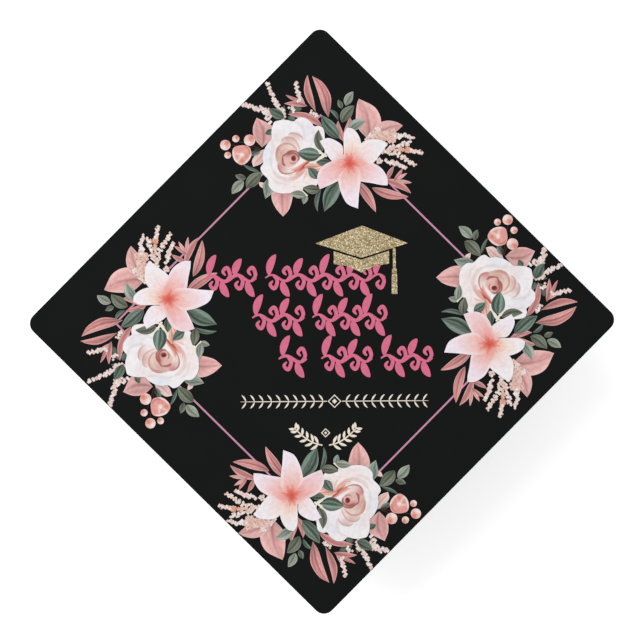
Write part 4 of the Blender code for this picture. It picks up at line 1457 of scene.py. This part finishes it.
buttonCloth = {
    "radius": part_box("button_cloth")[1].x,
    "thickness": 0.4 * mm,
    "pleats": 14,
    "pleat": 0.16 * mm,
    "sides": 84,
    "flat": (0.018, 0.018),
    "area": 0.00025,
    "held": "stretched",
    "restsOn": "button_shell",
}


def makeButtonCloth():
    # Cloth drawn over the button's shell, with small pleats round its rim.
    foot, top = [corner.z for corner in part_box("button_cloth")]
    turns = np.linspace(0, 2 * math.pi, buttonCloth["sides"], endpoint=False)

    def domeOf(inset, pleat):
        lift = np.linspace(0, math.pi / 2, 16)[:, None]
        far = (buttonCloth["radius"] - inset) * np.cos(lift) ** 0.6
        far = far + pleat * (np.sin(buttonCloth["pleats"] * turns) - 1) * ridge(lift, 0, 0.55)
        far[-1] = 0.12 * mm
        rise = foot + (top - foot - inset) * np.sin(lift) * np.ones(len(turns))
        return np.stack([far * np.cos(turns), far * np.sin(turns), rise], -1)

    outer, inner = domeOf(0, buttonCloth["pleat"]), domeOf(buttonCloth["thickness"], 0)
    piece = sewnSheet("buttonCoverCloth", outer, inner, outer[..., 0] * 0, blackTwill, closed=True)
    standsFor(piece, "button_cloth", "button")


makeButtonCloth()

pads = {
    "radius": (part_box("hook_pad_right")[1].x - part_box("hook_pad_right")[0].x) / 2,
    "base": 0.6 * mm,
    "hookPitch": 1.5 * mm,
    "hookReach": 1.1 * mm,
    "loopCount": 620,
    "loopReach": 0.95 * mm,
    "hook": [(0, 0), (0, 0.6), (0.25, 0.95), (0.75, 0.98), (1, 0.62)],  # lean, rise
    "loop": [(-1, -0.1), (-0.95, 0.55), (-0.4, 0.98), (0.4, 0.98), (0.95, 0.55), (1, -0.1)],
}
padCloth = makeSheeted("padNylon", linear(30, 30, 32), 0.7, 0.5 * mm, 0.1 * mm, specular=0.3)


def closedTube(work, rings):
    count = len(rings[0])
    for low, high in zip(rings, rings[1:]):
        for k in range(count):
            j = (k + 1) % count
            work.faces.new((low[k], low[j], high[j], high[k]))
    work.faces.new(rings[0][::-1])
    work.faces.new(rings[-1])


def bentThread(work, path, radius, sides=4):
    # A short closed tube along a path, such as one hook or one loop of pile.
    path = [Vector(p) for p in path]
    rings = []
    for i, place in enumerate(path):
        ahead = (path[min(i + 1, len(path) - 1)] - path[max(i - 1, 0)]).normalized()
        side = ahead.cross(Vector((0.31, 0.17, 0.93))).normalized()
        rings.append(threadRing(work, place, side, side.cross(ahead), radius, sides))
    closedTube(work, rings)


def padBase(work, low, high):
    # Round backing with a slightly rounded rim.
    rings, side, ahead = [], Vector((1, 0, 0)), Vector((0, 1, 0))
    for share, rise in ((0.94, 0), (1, 0.2), (1, 0.8), (0.94, 1)):
        place = Vector((0, 0, low + rise * (high - low)))
        rings.append(threadRing(work, place, side, ahead, pads["radius"] * share, 48))
    closedTube(work, rings)


def standingThread(work, x, y, foot, turn, width, rise, route, radius, sides):
    acrossX, acrossY = math.cos(turn) * width, math.sin(turn) * width
    path = [(x + acrossX * f, y + acrossY * f, foot + rise * g) for f, g in route]
    bentThread(work, path, radius, sides)


def makeHooks(dice):
    work = bmesh.new()
    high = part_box("hook_pad_right")[1].z
    padBase(work, high - pads["base"], high)
    pitch = pads["hookPitch"]
    steps = int(pads["radius"] / pitch)
    for i in range(-steps, steps + 1):
        for j in range(-steps, steps + 1):
            x, y = i * pitch + (j % 2) * pitch / 2, j * pitch * 0.87
            if math.hypot(x, y) > pads["radius"] * 0.93:
                continue
            turn, foot = dice.uniform(0, 2 * math.pi), high - pads["base"] + 0.05 * mm
            shape = pads["hook"], 0.13 * mm, 4
            standingThread(work, x, y, foot, turn, 0.36 * mm, -pads["hookReach"], *shape)
    return meshFrom(work, "hookPad")


def makeLoops(dice):
    work = bmesh.new()
    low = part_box("loop_pad_right")[0].z
    padBase(work, low, low + pads["base"])
    for _ in range(pads["loopCount"]):
        far = pads["radius"] * 0.95 * math.sqrt(dice.random())
        turn, face = dice.uniform(0, 2 * math.pi), dice.uniform(0, math.pi)
        x, y = far * math.cos(turn), far * math.sin(turn)
        width, rise = dice.uniform(0.35, 0.6) * mm, pads["loopReach"] * dice.uniform(0.6, 1)
        standingThread(work, x, y, low + pads["base"], face, width, rise, pads["loop"], 0.07 * mm, 3)
    return meshFrom(work, "loopPad")


def makePads():
    dice = random.Random(5)
    hooks, loops = makeHooks(dice), makeLoops(dice)
    kinds = (("hook", hooks, "topper", "hook_plastic"), ("loop", loops, "cap", "loop_pile"))
    for mesh in (hooks, loops):
        mesh.materials.append(padCloth)
    for corner in ("front", "right", "back", "left"):
        for kind, mesh, body, slot in kinds:
            low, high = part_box(f"{kind}_pad_{corner}")
            piece = placed(f"{kind}Pad_{corner}", mesh, None)
            piece.location = ((low.x + high.x) / 2, (low.y + high.y) / 2, 0)
            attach(piece, body)
            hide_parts(f"{kind}_pad_{corner}")


makePads()
print("button and pads made")


studio = {
    "floor": 12.0,  # m
    "floorGlow": 0.45,
    "lens": 100.0,
    "viewWidth": 0.3605,
    "cameraTurn": -0.4,
    "cameraShift": (0.0, -0.2),
    "worldLight": 0.6,
    "lights": {  # place, size, power
        "keyLight": ((-0.9, 0.7, 1.5), 1.4, 18.5),
        "fillLight": ((1.25, -1.15, 1.4), 1.3, 4),
    },
}


def makeStudio():
    scene = bpy.context.scene
    mesh = bpy.data.meshes.new("studioFloor")
    half = studio["floor"] / 2
    corners = [(x * half, y * half, 0) for x, y in ((-1, -1), (1, -1), (1, 1), (-1, 1))]
    mesh.from_pydata(corners, [], [(0, 1, 2, 3)])
    floor = bpy.data.objects.new("studioFloor", mesh)
    scene.collection.objects.link(floor)
    paper, tree, shader = newMaterial("studioPaper", 0.9, specular=0.1)
    place = addNode(tree, "TexCoord").outputs["Object"]
    white = ramp(tree, noise(tree, place, 3), (0.3, grey(0.92)), (0.7, grey(0.94)))
    tree.links.new(white, shader.inputs["Base Color"])
    shader.inputs["Emission Color"].default_value = (1, 1, 1, 1)
    shader.inputs["Emission Strength"].default_value = studio["floorGlow"]
    mesh.materials.append(paper)

    world = bpy.data.worlds.new("studioWorld")
    scene.world = world
    world.use_nodes = True
    backdrop = world.node_tree.nodes["Background"]
    backdrop.inputs["Color"].default_value = (1, 1, 1, 1)
    backdrop.inputs["Strength"].default_value = studio["worldLight"]

    for name, (place, size, power) in studio["lights"].items():
        light = bpy.data.lights.new(name, "AREA")
        light.size = size
        light.energy = power
        lamp = bpy.data.objects.new(name, light)
        lamp.location = place
        lamp.rotation_euler = (-Vector(place)).to_track_quat("-Z", "Y").to_euler()
        scene.collection.objects.link(lamp)

    camera = bpy.data.cameras.new("camera")
    camera.lens = studio["lens"]
    camera.sensor_width = 36
    eye = bpy.data.objects.new("camera", camera)
    distance = studio["viewWidth"] * studio["lens"] / 36
    eye.location = (studio["cameraShift"][0] * mm, studio["cameraShift"][1] * mm, printTop + distance)
    eye.rotation_euler = (0, 0, math.radians(studio["cameraTurn"]))
    scene.collection.objects.link(eye)
    scene.camera = eye
    scene.view_settings.view_transform = "Standard"


makeStudio()
print("studio ready")
